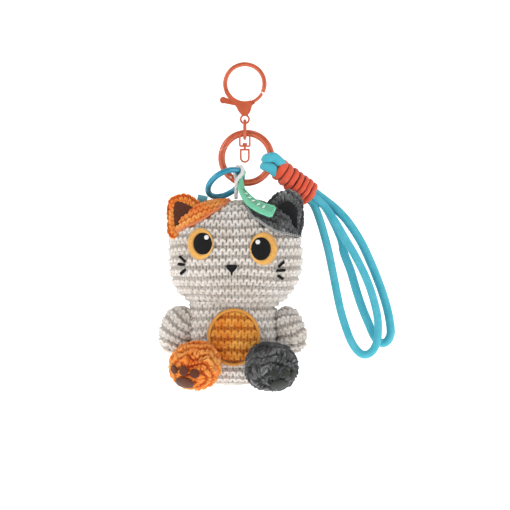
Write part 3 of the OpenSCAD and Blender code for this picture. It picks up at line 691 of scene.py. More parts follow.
class Block:
    """A rounded block: |x/a|^n + |y/b|^n + |z/c|^n = 1, turned and placed."""

    def __init__(self, at, half, square, turn=None):
        self.at, self.half, self.n = np.array(at, float), np.array(half, float), square
        self.turn = np.eye(3) if turn is None else turn
        e = 2 / square
        u = np.linspace(0, 2 * math.pi, 8001)
        around = np.stack([self.half[0] * power(np.cos(u), e), self.half[1] * power(np.sin(u), e)], 1)
        run = run_along(around)
        self.around, self.u_run, self.u_table = run[-1], run / run[-1], u
        v = np.linspace(-math.pi / 2, math.pi / 2, 4001)
        mean = 0.5 * (self.half[0] + self.half[1])
        rise = np.stack([mean * power(np.cos(v), e), self.half[2] * power(np.sin(v), e)], 1)
        run = run_along(rise)
        self.profile, self.v_run, self.v_table = run[-1], run, v

    def sample(self, share, run):
        """Surface points, outward normals and the girth there, at a share of the way round (0 is the
        middle of the -Y side) and a distance up the profile."""
        e = 2 / self.n
        u = np.interp((share + 0.75) % 1, self.u_run, self.u_table)
        v = np.interp(run, self.v_run, self.v_table)
        girth = np.cos(v) ** e
        local = np.stack([self.half[0] * girth * power(np.cos(u), e),
                          self.half[1] * girth * power(np.sin(u), e),
                          self.half[2] * power(np.sin(v), e)], -1)
        return self.placed(local), self.normal(local), girth

    def grid(self, runs, shares):
        """The run and the share at each point of a grid, and the surface's samples there."""
        run_grid, share_grid = np.meshgrid(runs, shares, indexing="ij")
        return run_grid, share_grid, *self.sample(share_grid, run_grid)

    def placed(self, local):
        return self.at + local @ self.turn.T

    def normal(self, local):
        q = local / self.half
        return unit((power(q, self.n - 1) / self.half) @ self.turn.T)

    def run_at(self, z):
        """Distance up the profile of a local height."""
        v = math.asin(power(z / self.half[2], self.n / 2))
        return float(np.interp(v, self.v_table, self.v_run))

    def front(self, x, z, lift=0.0):
        """The point on the -Y side at a given x and z (an upright block only), and its normal."""
        x, z = np.asarray(x, float), np.asarray(z, float)
        qx, qz = (x - self.at[0]) / self.half[0], (z - self.at[2]) / self.half[2]
        rest = np.maximum(1 - np.abs(qx) ** self.n - np.abs(qz) ** self.n, 1e-4)
        y = -self.half[1] * rest ** (1 / self.n)
        local = np.stack([x - self.at[0], y, z - self.at[2]], -1)
        normal = self.normal(local)
        return self.placed(local) + normal * np.asarray(lift)[..., None], normal


HEAD = Block(HEAD_AT, HEAD_HALF, HEAD_SQUARE)
BODY = Block(BODY_AT, BODY_HALF, BODY_SQUARE)
FOOT_TURN = turned(128, 0)


def foot_block(i):
    """A foot's ball, knitted round an axis that leans back."""
    a, b, c = FOOT_HALF[i]
    return Block(FOOT_AT[i], (a, c, b - 1.6), FOOT_SQUARE, FOOT_TURN)


def foot_front(i):
    """Upright stand-in for a foot, for the pads to lie on."""
    return Block(FOOT_AT[i], FOOT_HALF[i], 2.25)


def columns_for(block, front, back):
    """Shares of the way round, closer together on the front half."""
    front_count, back_count = int(block.around / 2 / front), int(block.around / 2 / back)
    return np.concatenate([np.linspace(-0.25, 0.25, front_count, endpoint=False),
                           np.linspace(0.25, 0.75, back_count, endpoint=False)])


def stitch_counts(block, girth_of_repeat, stitches):
    """Whole stitches in each repeat: the same while the girth allows, fewer towards a pole."""
    full = block.around / stitches.width
    last = round(full)
    counts = np.zeros(len(girth_of_repeat))
    for k in np.argsort(-girth_of_repeat):
        wanted = full * girth_of_repeat[k]
        if wanted < 0.86 * last:
            last = max(round(wanted), 5)
        counts[k] = last
    return counts


def knit_block(block, stitches, front, back, low=0.0, high=None, seed=1, shape=None, lift=0.0,
               slip=0.35, wave=38.0, deep=1.0):
    """A knitted skin on a block, as a closed shape. shape(points, heights) may change the relief."""
    high = block.profile if high is None else high
    runs = np.linspace(low + 0.15, high - 0.15, int((high - low) / front))
    run_grid, share_grid, points, normals, _ = block.grid(runs, columns_for(block, front, back))
    warp, sway = Wander(seed, wave, slip), Wander(seed + 50, 0.8 * wave, slip)
    up = (run_grid + warp(points)) / (2 * stitches.course)
    middle = (np.floor(up.min()) + np.arange(int(up.max() - up.min()) + 3) + 0.5) * 2 * stitches.course
    girth_there = block.sample(np.zeros(len(middle)), np.clip(middle, 0, block.profile))[2]
    table = stitch_counts(block, girth_there, stitches)
    count = table[(np.floor(up) - np.floor(up.min())).astype(int).clip(0, len(table) - 1)]
    across = share_grid * count + 0.5 + sway(points) / stitches.width
    relief, layers = stitches(across, up)
    loose = Wander(seed + 9, 7.0, 0.1)(points)
    relief = deep * relief * (1 + 1.2 * loose) + lift + 0.12
    relief += Wander(seed + 77, 34.0, 0.28)(points)
    if shape:
        relief = shape(points, relief)
    return closed_grid(points + normals * relief[..., None], layers)


def inside_oval(x, z, at, half):
    """Below 1 inside the oval."""
    return np.hypot((x - at[0]) / half[0], (z - at[1]) / half[1])


def pressed(relief, share, depth):
    """Relief pressed towards a depth below the surface, by a share."""
    return relief - share * (relief + depth)


def edge_distance(x, z, line):
    """Signed distance to an [x, z] line, positive above it."""
    line = np.asarray(line, float)
    best = np.full(x.shape, 1e9)
    sign = np.ones(x.shape)
    for a, b in zip(line[:-1], line[1:]):
        d = b - a
        t = np.clip(((x - a[0]) * d[0] + (z - a[1]) * d[1]) / (d @ d), 0, 1)
        gap = np.hypot(x - a[0] - t * d[0], z - a[1] - t * d[1])
        side = np.sign(d[0] * (z - a[1]) - d[1] * (x - a[0]))
        nearer = gap < best
        best = np.where(nearer, gap, best)
        sign = np.where(nearer, side, sign)
    return best * sign


ORANGE_LINE = smooth([(-48, -97), *ORANGE_EDGE, (-4.5, -70)], 6)
GREY_LINE = smooth([(-2.0, -70), *GREY_EDGE, (40, -96.2)], 6)


def patch_share(points):
    """How deep a point is inside the orange and the grey patch, in mm (negative outside)."""
    x, y, z = np.moveaxis(points, -1, 0)
    behind = (HEAD_AT[1] - 0.9) - y
    orange = np.where(x < PATCHES_MEET_X, edge_distance(x, z, ORANGE_LINE), -9)
    grey = np.where(x > PATCHES_MEET_X, edge_distance(x, z, GREY_LINE), -9)
    return np.minimum(orange, behind), np.minimum(grey, behind)


def head_relief(points, relief):
    """Presses the head's stitches under the embroidery and patches, and pulls in the side seam."""
    x, y, z = np.moveaxis(points, -1, 0)
    front = y < 0
    for at, half in zip(EYE_AT, EYE_HALF):
        relief = pressed(relief, front * (1 - fade(inside_oval(x, z, at, half), 0.9, 1.12)), 0.75)
    from_nose = np.hypot(x - NOSE_AT[0], z - NOSE_AT[1])
    relief = pressed(relief, front * (1 - fade(from_nose, 2.2, 3.4)), 0.6)
    for strokes in WHISKERS.values():
        for stroke in strokes:
            near = 1 - fade(np.abs(edge_distance(x, z, stroke)), 0.8, 1.7)
            relief = pressed(relief, front * near, 0.5)
    for inside in patch_share(points):
        relief = relief - 1.1 * fade(inside, -0.6, 0.6)
    return relief - 0.8 * np.exp(-((y - 1.9) / 1.0) ** 2)


def body_relief(points, relief):
    """Presses the stitches under the belly, and draws the side seam in."""
    x, y, z = np.moveaxis(points, -1, 0)
    inside = 1 - fade(inside_oval(x, z, BELLY_AT, BELLY_HALF), 0.98, 1.07)
    return pressed(relief, (y < 0) * inside, 0.9) - 0.7 * np.exp(-((y - 2.6) / 1.0) ** 2)


def under_pads(points, relief, pads):
    """Presses a foot's stitches flat where the pads are sewn on."""
    x, y, z = np.moveaxis(points, -1, 0)
    for px, pz, wide, high, tilt in pads:
        c, s = cos_sin(tilt)
        across, up = (x - px) * c + (z - pz) * s, (z - pz) * c - (x - px) * s
        inside = 1 - fade(np.hypot(across / wide, up / high), 0.85, 1.15)
        relief = pressed(relief, inside * (y < -24), 0.5)
    return relief


def patch_skin(line_index, angle, seed):
    """A knitted patch on the head's front half, with its rows at an angle, edges tucked in."""
    spacing = 0.36
    runs = np.arange(HEAD.run_at(HEAD.half[2] * 0.22), HEAD.profile - 0.2, spacing)
    low, high = ((-0.27, 0.02), (-0.03, 0.27))[line_index]
    shares = np.arange(low, high, spacing / HEAD.around)
    run_grid, share_grid, points, normals, girth = HEAD.grid(runs, shares)
    depth = patch_share(points)[line_index]
    flat_x = share_grid * HEAD.around * (0.25 + 0.75 * girth)
    c, s = cos_sin(angle)
    wave = Wander(seed, 22.0, 0.5)(points)
    along = flat_x * c + run_grid * s + wave
    up = -flat_x * s + run_grid * c + wave
    relief, layers = CHUNKY(along / CHUNKY.width, up / (2 * CHUNKY.course))
    relief = 0.75 * relief + 0.85 + Wander(seed + 3, 20.0, 0.2)(points)
    tuck = fade(depth, -0.5, 0.9)
    relief = relief * tuck - 1.9 * (1 - tuck)
    grid = points + normals * relief[..., None]
    under = points - normals * 2.2
    rows, columns = grid.shape[:2]
    quads = np.array(grid_faces(rows, columns, wrap=False))
    kept = quads[(depth.ravel()[quads] > -0.5).any(1)]
    return plate(grid.reshape(-1, 3), under.reshape(-1, 3), kept, layers)


def plate(top, bottom, quads, layers):
    """A closed plate: the kept quads on top, the same turned over below, and a wall round the edge."""
    used, index = np.unique(quads, return_inverse=True)
    quads = index.reshape(-1, 4)
    n = len(used)
    edges = np.concatenate([quads[:, [k, (k + 1) % 4]] for k in range(4)])
    pairs = dict.fromkeys(map(tuple, edges.tolist()))
    faces = quads.tolist() + (quads[:, ::-1] + n).tolist()
    faces += [[b, a, a + n, b + n] for a, b in pairs if (b, a) not in pairs]
    points = np.vstack([top[used], bottom[used]])
    made = {name: np.tile(values.ravel()[used], 2) for name, values in layers.items()}
    return points, faces, made

# ---- Threads, beads, pads and cords ----


def bead_unit():
    """A unit ball of five rings, long way along its own x."""
    p, r = np.meshgrid(np.linspace(0, math.pi, 7)[1:-1], circle(8), indexing="ij")
    return np.stack([-np.cos(p), np.sin(p) * np.cos(r), np.sin(p) * np.sin(r)], -1)


def beads(at, along, across, size):
    """One rounded stitch at each place: half sizes (long, wide, high) along, across and out."""
    unit_points = bead_unit()
    shapes = []
    size = np.broadcast_to(np.asarray(size, float), (len(at), 3))
    shades = np.random.default_rng(len(at)).uniform(0.6, 1.0, len(at))
    for a, d, s, (long, wide, high), shade in zip(at, unit(along), unit(across), size, shades):
        out = np.cross(d, s)
        ring = (a + long * unit_points[..., :1] * d + wide * unit_points[..., 1:2] * s
                + high * unit_points[..., 2:] * out)
        # Painted shade: the layer is highest on each stitch's top and falls to 0 at its sides; each stitch
        # also gets its own random tone.
        strand_shade = shade * np.abs(unit_points[..., 2])
        shapes.append(closed_grid(ring, {"strand_shade": strand_shade}))
    return joined(shapes)


def on_oval(at, half, angles):
    return np.stack([at[0] + half[0] * np.cos(angles), at[1] + half[1] * np.sin(angles)], 1)


def satin_ring(surface, outer_at, outer_half, inner_at, inner_half, lift, height, pitch=0.85, slant=0.0):
    """Satin stitches from an inner oval out to an outer oval, side by side."""
    around = math.pi * (outer_half[0] + outer_half[1])
    angles = np.arange(0, 2 * math.pi, pitch / around * 2 * math.pi)
    outer = on_oval(outer_at, outer_half, angles)
    inner = on_oval(inner_at, inner_half, angles + slant)
    gap = np.linalg.norm(outer - inner, axis=1)
    middle = 0.5 * (outer + inner)
    at, normal = surface.front(middle[:, 0], middle[:, 1], lift)
    start = surface.front(inner[:, 0], inner[:, 1], lift)[0]
    end = surface.front(outer[:, 0], outer[:, 1], lift)[0]
    along = unit(end - start)
    across = unit(np.cross(normal, along))
    uneven = np.random.default_rng(3).uniform(0.86, 1.1, len(gap))
    long, wide = 0.5 * gap + 0.28 * uneven, np.full(len(gap), 0.56 * pitch)
    return beads(at, along, across, np.stack([long, wide, height * (0.55 + 0.12 * gap) * uneven], 1))


def row_pad(surface, z_low, z_high, span, lift, height):
    """Satin filling in level rows: a low dome whose threads run across. span(z) gives left and right."""
    heights = np.arange(z_low + 0.02, z_high - 0.01, 0.1)
    ends = np.array([span(z) for z in heights])
    t = np.linspace(-1, 1, 25)
    t = np.sin(t * math.pi / 2)
    x = ends[:, :1] + (ends[:, 1:] - ends[:, :1]) * (t[None] + 1) / 2
    z = np.repeat(heights[:, None], len(t), 1)
    rise = np.sqrt(np.clip(1 - t ** 2, 0, 1))[None] ** 0.5
    edge = fade(heights - z_low, -0.05, 0.7) * fade(z_high - heights, -0.05, 0.7)
    thread = np.abs(np.sin(z * math.pi / FLOSS_PITCH))
    dome = height * rise * np.sqrt(edge)[:, None]
    top = surface.front(x, z, lift + dome * (0.82 + 0.18 * thread))[0]
    low = surface.front(x, z, np.full(x.shape, lift - 0.5))[0]
    ring = np.concatenate([top, low[:, ::-1]], 1)
    # Painted shade: the layer is low in the grooves between the threads, for darker floss there.
    strand_shade = np.concatenate([0.35 + 0.65 * thread, np.zeros(thread.shape)], 1)
    return flipped(closed_grid(ring, {"strand_shade": strand_shade}))


def satin_oval(at, half, lift, height):
    """An oval of satin rows on the head."""
    def span(z):
        reach = half[0] * math.sqrt(max(1 - ((z - at[1]) / half[1]) ** 2, 0.0004))
        return at[0] - reach, at[0] + reach

    return row_pad(HEAD, at[1] - half[1], at[1] + half[1], span, lift, height)


def lens(surface, outline, lift, height, seed, fuzz):
    """A closed pad on a surface inside an [x, z] outline."""
    outline = np.asarray(outline, float)
    centre = outline.mean(0)
    rng = np.random.default_rng(seed)
    outline = outline + rng.normal(size=outline.shape) * fuzz
    r = np.sin(np.linspace(0.04, 1, 14) * math.pi / 2)
    flat = centre + r[:, None, None] * (outline - centre)
    rise = (1 - r ** 5) ** 0.5
    dome = lift + height * rise[:, None] * np.ones(len(outline))
    top = surface.front(flat[..., 0], flat[..., 1], dome)[0]
    low = surface.front(flat[..., 0], flat[..., 1], np.full(flat.shape[:2], lift - 0.35))[0]
    return flipped(closed_grid(np.concatenate([top, low[::-1]])))


def oval_outline(x, z, wide, high, tilt):
    a = circle(56)
    c, s = cos_sin(tilt)
    px, pz = wide * np.cos(a), high * np.sin(a)
    return np.stack([x + px * c - pz * s, z + px * s + pz * c], 1)


def carried(route, side):
    """Directions, and side and out vectors carried along a route without twisting."""
    d = headings(route)
    sides = [square_to(side, d[0])]
    for k in range(1, len(d)):
        sides.append(square_to(sides[-1], d[k]))
    sides = np.array(sides)
    return d, sides, np.cross(d, sides)


def tube(route, radius, around=40, strands=0, weave=0.0, pitch=1.0, lobes=0, twist=0.0, flatten=1.0,
         sides=None):
    """A cord along a route with a braid or a twist in its surface. sides fixes the section's turn."""
    route = np.asarray(route, float)
    d, s, o = carried(route, (0.31, 0.87, 0.38))
    if sides is not None:
        s = unit(sides - (sides * d).sum(1)[:, None] * d)
        o = np.cross(d, s)
    radius = (np.ones(len(route)) * radius)[:, None]
    flatten = (np.ones(len(route)) * flatten)[:, None]
    along = run_along(route)
    run, turn = np.meshgrid(along, circle(around), indexing="ij")
    if lobes:
        pattern = np.cos(lobes * turn - twist * run)
    else:
        left = np.sin(strands * turn + 2 * math.pi * run / pitch)
        right = np.sin(strands * turn - 2 * math.pi * run / pitch)
        pattern = left * right
    near_end = np.minimum(along, along[-1] - along)[:, None]
    r = (radius + weave * pattern) * np.sqrt(np.clip(near_end / (0.35 * radius), 0.06, 1))
    ring = (route[:, None] + (r * np.cos(turn))[..., None] * s[:, None]
            + (r * flatten * np.sin(turn))[..., None] * o[:, None])
    # The weave layer steers painted shade in the cord's hollows and painted highlight on its raised strands;
    # the edge layer steers painted shade at the section's sides, where wound turns touch.
    return flipped(closed_grid(ring, {"weave": 0.5 + 0.5 * pattern, "edge": np.abs(np.cos(turn))}))


def braided(route, radius, **more):
    return tube(route, radius, around=48, strands=12, weave=0.045, pitch=1.9, **more)

# ---- The pieces ----


def hardware():
    """The CAD metal parts keep their shapes: lacquer on them, and rounded edges."""
    for slot, names in METAL_NODES.items():
        for name in names:
            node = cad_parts[name]
            node.data.materials.clear()
            node.data.materials.append(FINISHES[slot])
            if name in ROUNDED_NODES:
                round_edges(node, "edges", 0.22, 3, 38)
    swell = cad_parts["chain_link"].modifiers.new("wire", "DISPLACE")
    swell.strength = LINK_SWELL * MM
    swell.mid_level = 0.0


def stuffing(name, block, rides_on, lowest=-math.inf, highest=math.inf):
    """One loose lump inside a skin, seen only through a gap."""
    runs = np.linspace(0.3, block.profile - 0.3, int(block.profile / LUMP_SPACING))
    shares = np.arange(0, 1, LUMP_SPACING / block.around)
    _, _, points, normals, _ = block.grid(runs, shares)
    lumps = Wander(5, 9.0, 0.5)(points) + Wander(6, 3.0, 0.12)(points)
    points = points + normals * lumps[..., None]
    points[..., 2] = np.clip(points[..., 2], lowest, highest)
    piece(name, closed_grid(points), "stuffing", rides_on)


def inner_parts():
    """Stuffing in the head, the body and the limbs, a little smaller than each skin."""
    head_half, body_half = np.array(HEAD_HALF) * 0.86, np.array(BODY_HALF) * 0.84
    stuffing("head_stuffing", Block(HEAD_AT, head_half, HEAD_SQUARE), "cat", lowest=NECK_Z + 1)
    stuffing("body_stuffing", Block(BODY_AT, body_half, BODY_SQUARE), "cat", highest=NECK_Z - 1)
    for i, side in enumerate(SIDES):
        arm = Block(ARM_AT[i], np.array(ARM_HALF[i]) * 0.74, LIMB_SQUARE, turned(ARM_TILT[i], 1))
        foot = Block(FOOT_AT[i], foot_block(i).half * 0.76, FOOT_SQUARE, FOOT_TURN)
        stuffing("arm_%s_stuffing" % side, arm, "arm_" + side)
        stuffing("foot_%s_stuffing" % side, foot, "leg_" + side)


def binding_frame():
    """The binding's axis, the two directions square to it, and its length."""
    axis = unit(BINDING_END - BINDING_AT)
    back = square_to([0, 1, 0], axis)
    return axis, back, np.cross(axis, back), float(np.linalg.norm(BINDING_END - BINDING_AT))


def strap_loops():
    """The two free loops: each is one cord whose ends are held inside the binding."""
    axis, back, rise, _ = binding_frame()
    for name, route, radius, held_at in (
        ("strap_loop_front", FRONT_LOOP, LOOP_RADII[0], ((-2.4, -1.9), (0.6, -2.6))),
        ("strap_loop_back", BACK_LOOP, LOOP_RADII[1], ((0.2, 2.2), (2.9, 0.9))),
    ):
        held = [BINDING_END - 4.5 * axis + up * rise + deep * back for up, deep in held_at]
        line = spaced(smooth([held[0], *route, held[1]], 12), CORD_STEP)
        cord = piece(name, braided(line, radius), "cyan_cord", "strap")
        length = float(run_along(line)[-1]) * MM


def strap_bights():
    """The strap cord's two bends round the key ring, their ends held inside the binding."""
    axis, back, rise, _ = binding_frame()
    behind = np.array([0, 1, 0])
    for name, angle, up in (
        ("strap_bight_upper", BIGHT_ANGLES[0], 1),
        ("strap_bight_lower", BIGHT_ANGLES[1], -1),
    ):
        c, s = cos_sin(angle)
        out = np.array([c, 0, s])
        place = BINDING_AT + 2.84 * up * rise
        ends = [place + 0.6 * axis + 3.2 * half * back for half in (-1, 1)]
        deep = [place + 5.0 * axis + 2.2 * half * back - 2.0 * up * rise for half in (-1, 1)]
        bend = arc(KEY_RING_AT + KEY_RING_RADIUS * out, BIGHT_BEND, out, behind, range(-60, -271, -20))
        line = spaced(smooth([deep[0], ends[0], *bend, ends[1], deep[1]], 8), CORD_STEP)
        sides = np.tile(rise, (len(line), 1))
        piece(name, braided(line, BIGHT_RADIUS, sides=sides, flatten=BIGHT_FLATTEN), "cyan_cord", "strap")


def strap_binding():
    """The wrap: one cord wound round the strands, wide turns first, its ends tucked in."""
    axis, back, rise, length = binding_frame()
    widths = TURN_WIDTHS * length / TURN_WIDTHS.sum()
    edges = np.concatenate([[0], np.cumsum(widths)]) - 0.5
    count = len(widths)
    turn = np.linspace(-0.06, count + 0.06, 1500)
    at = np.arange(count) + 0.5
    place = np.interp(turn, at, 0.5 * (edges[1:] + edges[:-1]))
    wide = 0.54 * np.interp(turn, at, widths)
    tall = 1.9 + 0.2 * wide
    tuck = fade(0.2 - turn, 0, 0.26) + fade(turn, count - 0.2, count + 0.06)
    radius = np.interp(turn, at, TURN_RADII) - tall - 2.2 * tuck
    angle = 2 * math.pi * turn
    line = (BINDING_AT + place[:, None] * axis
            + (radius * np.cos(angle))[:, None] * back + (radius * np.sin(angle))[:, None] * rise)
    line = line + 0.12 * np.stack([Wander(91, 6.0, 1.0)(line), Wander(92, 6.0, 1.0)(line), 0 * turn], 1)
    full = spaced(np.hstack([line, wide[:, None], tall[:, None]]), 0.36)
    shape = tube(full[:, :3], full[:, 3], around=44, strands=13, weave=0.05, pitch=1.5,
                 sides=np.tile(axis, (len(full), 1)), flatten=full[:, 4] / full[:, 3])
    piece("strap_binding", shape, "coral_cord", "strap")


def strap_core():
    """The four strands inside the binding."""
    axis, back, rise, _ = binding_frame()
    strands = []
    for x in (-1, 1):
        for y in (-1, 1):
            aside = 1.5 * x * back + 1.5 * y * rise
            line = spaced([BINDING_AT + 1.2 * axis + aside, BINDING_END - 1.2 * axis + aside], 0.6)
            strands.append(tube(line, 1.9, around=24, strands=6, weave=0.04, pitch=1.9))
    piece("strap_core", joined(strands), "cyan_cord", "strap")


def hang_loop():
    """A twisted cord from the cat's crown over the spring ring."""
    bend = arc(LOOP_AT, LOOP_BEND, LOOP_ACROSS, LOOP_UP, range(0, 181, 20))
    line = spaced(smooth([*LOOP_BACK_LEG, *bend, *LOOP_FRONT_LEG], 6), 0.16)
    shape = tube(line, LOOP_CORD, around=30, lobes=3, weave=0.13, twist=2.4)
    obj = piece("hang_loop", shape, "white_cord")
    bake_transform(obj)


class Tag:
    """The tag's strip: its centre line, across and out vectors, and the band between its rims."""

    def __init__(self):
        self.line = smooth(TAG_ROUTE, 8)
        n = len(self.line) - 1
        given = np.arange(len(TAG_WIDTHS))
        self.widths = np.interp(np.linspace(0, given[-1], n + 1), given, TAG_WIDTHS)
        self.heading = headings(self.line)
        share = (np.arange(n + 1) / n)[:, None]
        sideways = (1 - share) * TAG_AXIS + share * TAG_END_WIDTH
        self.across = np.array([square_to(v, w) for v, w in zip(sideways, self.heading)])
        self.out = np.cross(self.across, self.heading)
        self.run = run_along(self.line)
        self.left = self.run[-1] - self.run
        self.high_rim = np.clip(0.15 * self.widths, 0.4, 0.9)
        self.low_rim = np.clip(0.36 * self.widths, 0.4, 2.8)
        self.sunk = fade(self.run, 7.0, 9.5) * fade(self.left, 0.9, 1.6)

    def section(self, k):
        """The strip's outline at one place, as (across, out) pairs."""
        w = self.widths[k] / 2 * (0.78 + 0.22 * min(self.left[k] / 1.6, 1))
        t = TAG_THICKNESS / 2 * (0.6 + 0.8 * self.left[k] if self.left[k] < 0.5 else 1)
        c = min(0.45, 0.5 * t)
        sunk = t - TAG_SINK * self.sunk[k]
        low = -w + max(self.high_rim[k], c + 0.1)
        high = max(w - self.low_rim[k], low + 0.5)

        def corner(side, face):
            return [(side * w, face * (t - c)), (side * (w - 0.3 * c), face * (t - 0.3 * c)),
                    (side * (w - c), face * t)]

        band = [(low, t), (low + 0.2, sunk), (0.5 * (low + high), sunk), (high - 0.2, sunk), (high, t)]
        front = [*corner(-1, 1), *band, *corner(1, 1)[::-1]]
        return [*front, *corner(1, -1), (0, -t), *corner(-1, -1)[::-1]]

    def strip(self):
        rings = [[line + a * across + b * out for a, b in self.section(k)]
                 for k, (line, across, out) in enumerate(zip(self.line, self.across, self.out))]
        # The sunk layer marks the band for its painted shade.
        band = np.zeros(np.array(rings).shape[:2])
        band[:, 4:7] = self.sunk[:, None]
        return flipped(closed_grid(np.array(rings), {"sunk": band}))

    def marks(self):
        """Plain equal bars across the sunk band."""
        places = [int(np.searchsorted(self.run, (0.38 + 0.11 * k) * self.run[-1])) for k in range(5)]
        middle = 0.5 * (self.high_rim - self.low_rim)[places]
        at = self.line[places] + self.across[places] * middle[:, None]
        at = at + self.out[places] * (TAG_THICKNESS / 2 - 0.25)
        size = [(0.2 * wide, 0.55, 0.45) for wide in self.widths[places]]
        return beads(at, self.across[places], self.heading[places], np.array(size))


def tag_hoop():
    """The moulded loop that holds the tag on the spring ring's wire."""
    start = square_to(TAG_ROUTE[1] - TAG_AT, TAG_AXIS)
    side = np.cross(TAG_AXIS, start)
    section = [(r, -h) for r, h in TAG_HOOP] + TAG_HOOP[::-1]
    rings = []
    for a in np.arange(0, 2 * math.pi, math.pi / 24):
        outward = math.cos(a) * start + math.sin(a) * side
        rings.append([TAG_AT + r * outward + h * TAG_AXIS for r, h in section])
    points = np.array(rings).reshape(-1, 3)
    faces = np.array(grid_faces(len(rings) + 1, len(section))) % len(points)
    return points, faces.tolist(), {"sunk": np.zeros(len(points))}


def silicone_tag():
    tag = Tag()
    obj = piece("silicone_tag", joined([tag.strip(), tag_hoop()]), "mint_silicone", "tag")
    round_edges(obj, "soft_edges", 0.12, 2, 35)
    piece("tag_marks", tag.marks(), "white_print", "tag")


def side_label():
    """A folded ribbon label sewn into the head's seam."""
    wide, thick, high = LABEL_SIZE
    turn = turned(LABEL_TILT, 1)
    fold = [(0.5 * thick * math.cos(a), high / 2 - thick / 2 + 0.5 * thick * math.sin(a))
            for a in np.linspace(0, math.pi, 9)]
    section = [(0.5 * thick, -high / 2), *fold, (-0.5 * thick, -high / 2)]
    inner = [(y * 0.35, z - 0.35 if z > 0 else z) for y, z in section][::-1]
    rings = []
    for x in np.linspace(-wide / 2, wide / 2, 15):
        bow = 1 + 0.12 * math.cos(x / wide * math.pi)
        ripple = 0.1 * math.sin(2.2 * x)
        rings.append([LABEL_AT + turn @ np.array([x, y * bow, z + ripple]) for y, z in section + inner])
    piece("side_label", closed_grid(np.array(rings)), "label_ribbon", "cat")


def head():
    low = HEAD.run_at(NECK_Z - HEAD_AT[2] - 2.6)
    shape = knit_block(HEAD, STITCHES, 0.40, 0.62, low=low, seed=11, shape=head_relief)
    piece("head_shell", shape, "cream_knit", "cat")
    piece("head_patch_orange", patch_skin(0, 27, 21), "orange_knit", "cat")
    piece("head_patch_grey", patch_skin(1, -24, 22), "grey_knit", "cat")
    head_seam("orange", ORANGE_EDGE)
    head_seam("grey", GREY_EDGE)


def head_seam(color, edge):
    """Two rows of slanted stitches along a patch's edge, as far as the head's outline."""
    line = spaced(smooth(edge, 8), 1.15)
    flat = np.abs((line - np.array(HEAD_AT)[[0, 2]]) / np.array(HEAD_HALF)[[0, 2]])
    line = line[(flat ** HEAD_SQUARE).sum(1) < 0.975]
    at, normal = HEAD.front(line[:, 0], line[:, 1], 0.5)
    along = headings(at)
    across = unit(np.cross(normal, along))
    rows = []
    for side in (-0.42, 0.42):
        lean = unit(along + side * 0.9 * across)
        rows.append(beads(at + across * side, lean, unit(np.cross(normal, lean)), (0.78, 0.33, 0.4)))
    piece("head_seam_" + color, joined(rows), "seam_" + color, "cat")


def eyes():
    for i, side in enumerate(SIDES):
        hole = np.array(PUPIL_HALF[i]) - 0.35
        ring = satin_ring(HEAD, EYE_AT[i], EYE_HALF[i], PUPIL_AT[i], hole, 0.12, 0.72)
        piece("eye_" + side, ring, "embroidery_yellow", "cat")
        pupil = satin_oval(PUPIL_AT[i], PUPIL_HALF[i], 0.05, 0.85)
        piece("pupil_" + side, pupil, "embroidery_black", "cat")
    glints = [satin_oval(at, (GLINT_RADIUS, GLINT_RADIUS), 0.75, 0.55) for at in GLINT_AT]
    piece("eye_glints", joined(glints), "embroidery_white", "cat")


def nose():
    x, z = NOSE_AT
    heights, widths = zip(*NOSE_WIDTHS)

    def span(level):
        half = np.interp(level - z, heights, widths)
        return x - half, x + half

    shape = row_pad(HEAD, z + heights[0], z + heights[-1], span, 0.0, 0.8)
    piece("nose", shape, "embroidery_black", "cat")


def whiskers():
    """Each whisker is a bar of short threads laid across it."""
    for name, strokes in WHISKERS.items():
        bars = []
        for a, b in strokes:
            line = spaced([a, b], 0.36)
            at, normal = HEAD.front(line[:, 0], line[:, 1], 0.25)
            along = headings(at)
            across = unit(np.cross(normal, along) + 0.25 * along)
            thick = np.random.default_rng(len(bars) + 5).uniform(0.8, 1.12, (len(at), 1))
            bars.append(beads(at, across, -unit(np.cross(across, normal)), thick * [0.95, 0.31, 0.55]))
        piece(name, joined(bars), "embroidery_black", "cat")


class EarFront:
    """The front face of an ear, as a surface that pads can lie on."""

    def __init__(self, outline, y, thick, lean):
        self.outline = spaced(smooth(outline, 8, closed=True), 0.6, closed=True)
        self.centre = np.array([self.outline[:, 0].mean(), self.outline[:, 1].mean()])
        self.y, self.thick, self.lean = y, thick, lean
        spokes = self.outline - self.centre
        angles = np.arctan2(spokes[:, 1], spokes[:, 0])
        order = np.argsort(angles)
        self.angles, self.reach = angles[order], np.hypot(spokes[:, 0], spokes[:, 1])[order]

    def middle(self, z):
        """Depth of the ear's middle sheet, which leans forward below its tip."""
        return self.y - self.lean * np.clip(EAR_TIP_Z - z, 0, 20)

    def rise(self, r):
        return self.thick * np.clip(1 - r ** 3.2, 0, 1) ** 0.5 * (1 - 0.22 * np.exp(-(r / 0.55) ** 2))

    def front(self, x, z, lift=0.0):
        x, z = np.asarray(x, float), np.asarray(z, float)
        dx, dz = x - self.centre[0], z - self.centre[1]
        reach = np.interp(np.arctan2(dz, dx), self.angles, self.reach, period=2 * math.pi)
        r = np.clip(np.hypot(dx, dz) / reach, 0, 0.999)
        y = self.middle(z) - self.rise(r) - np.asarray(lift)
        normal = np.zeros((*x.shape, 3))
        normal[..., 1] = -1
        return np.stack([x, y * np.ones(x.shape), z], -1), normal

    def sheet(self, outline):
        """Rings of points, front middle to back middle, and which way each faces (-1 is front)."""
        mean_reach = float(np.hypot(*(outline - self.centre).T).mean())
        r = np.sin(np.linspace(0.03, 1, int(mean_reach / EAR_STEP)) * math.pi / 2)
        radii = np.concatenate([r, r[::-1][1:]])
        facing = np.concatenate([-np.ones(len(r)), np.ones(len(r) - 1)])
        flat = self.centre + radii[:, None, None] * (outline - self.centre)
        deep = self.middle(flat[..., 1:]) + (facing * self.rise(radii))[:, None, None]
        return np.concatenate([flat[..., :1], deep, flat[..., 1:]], -1), facing


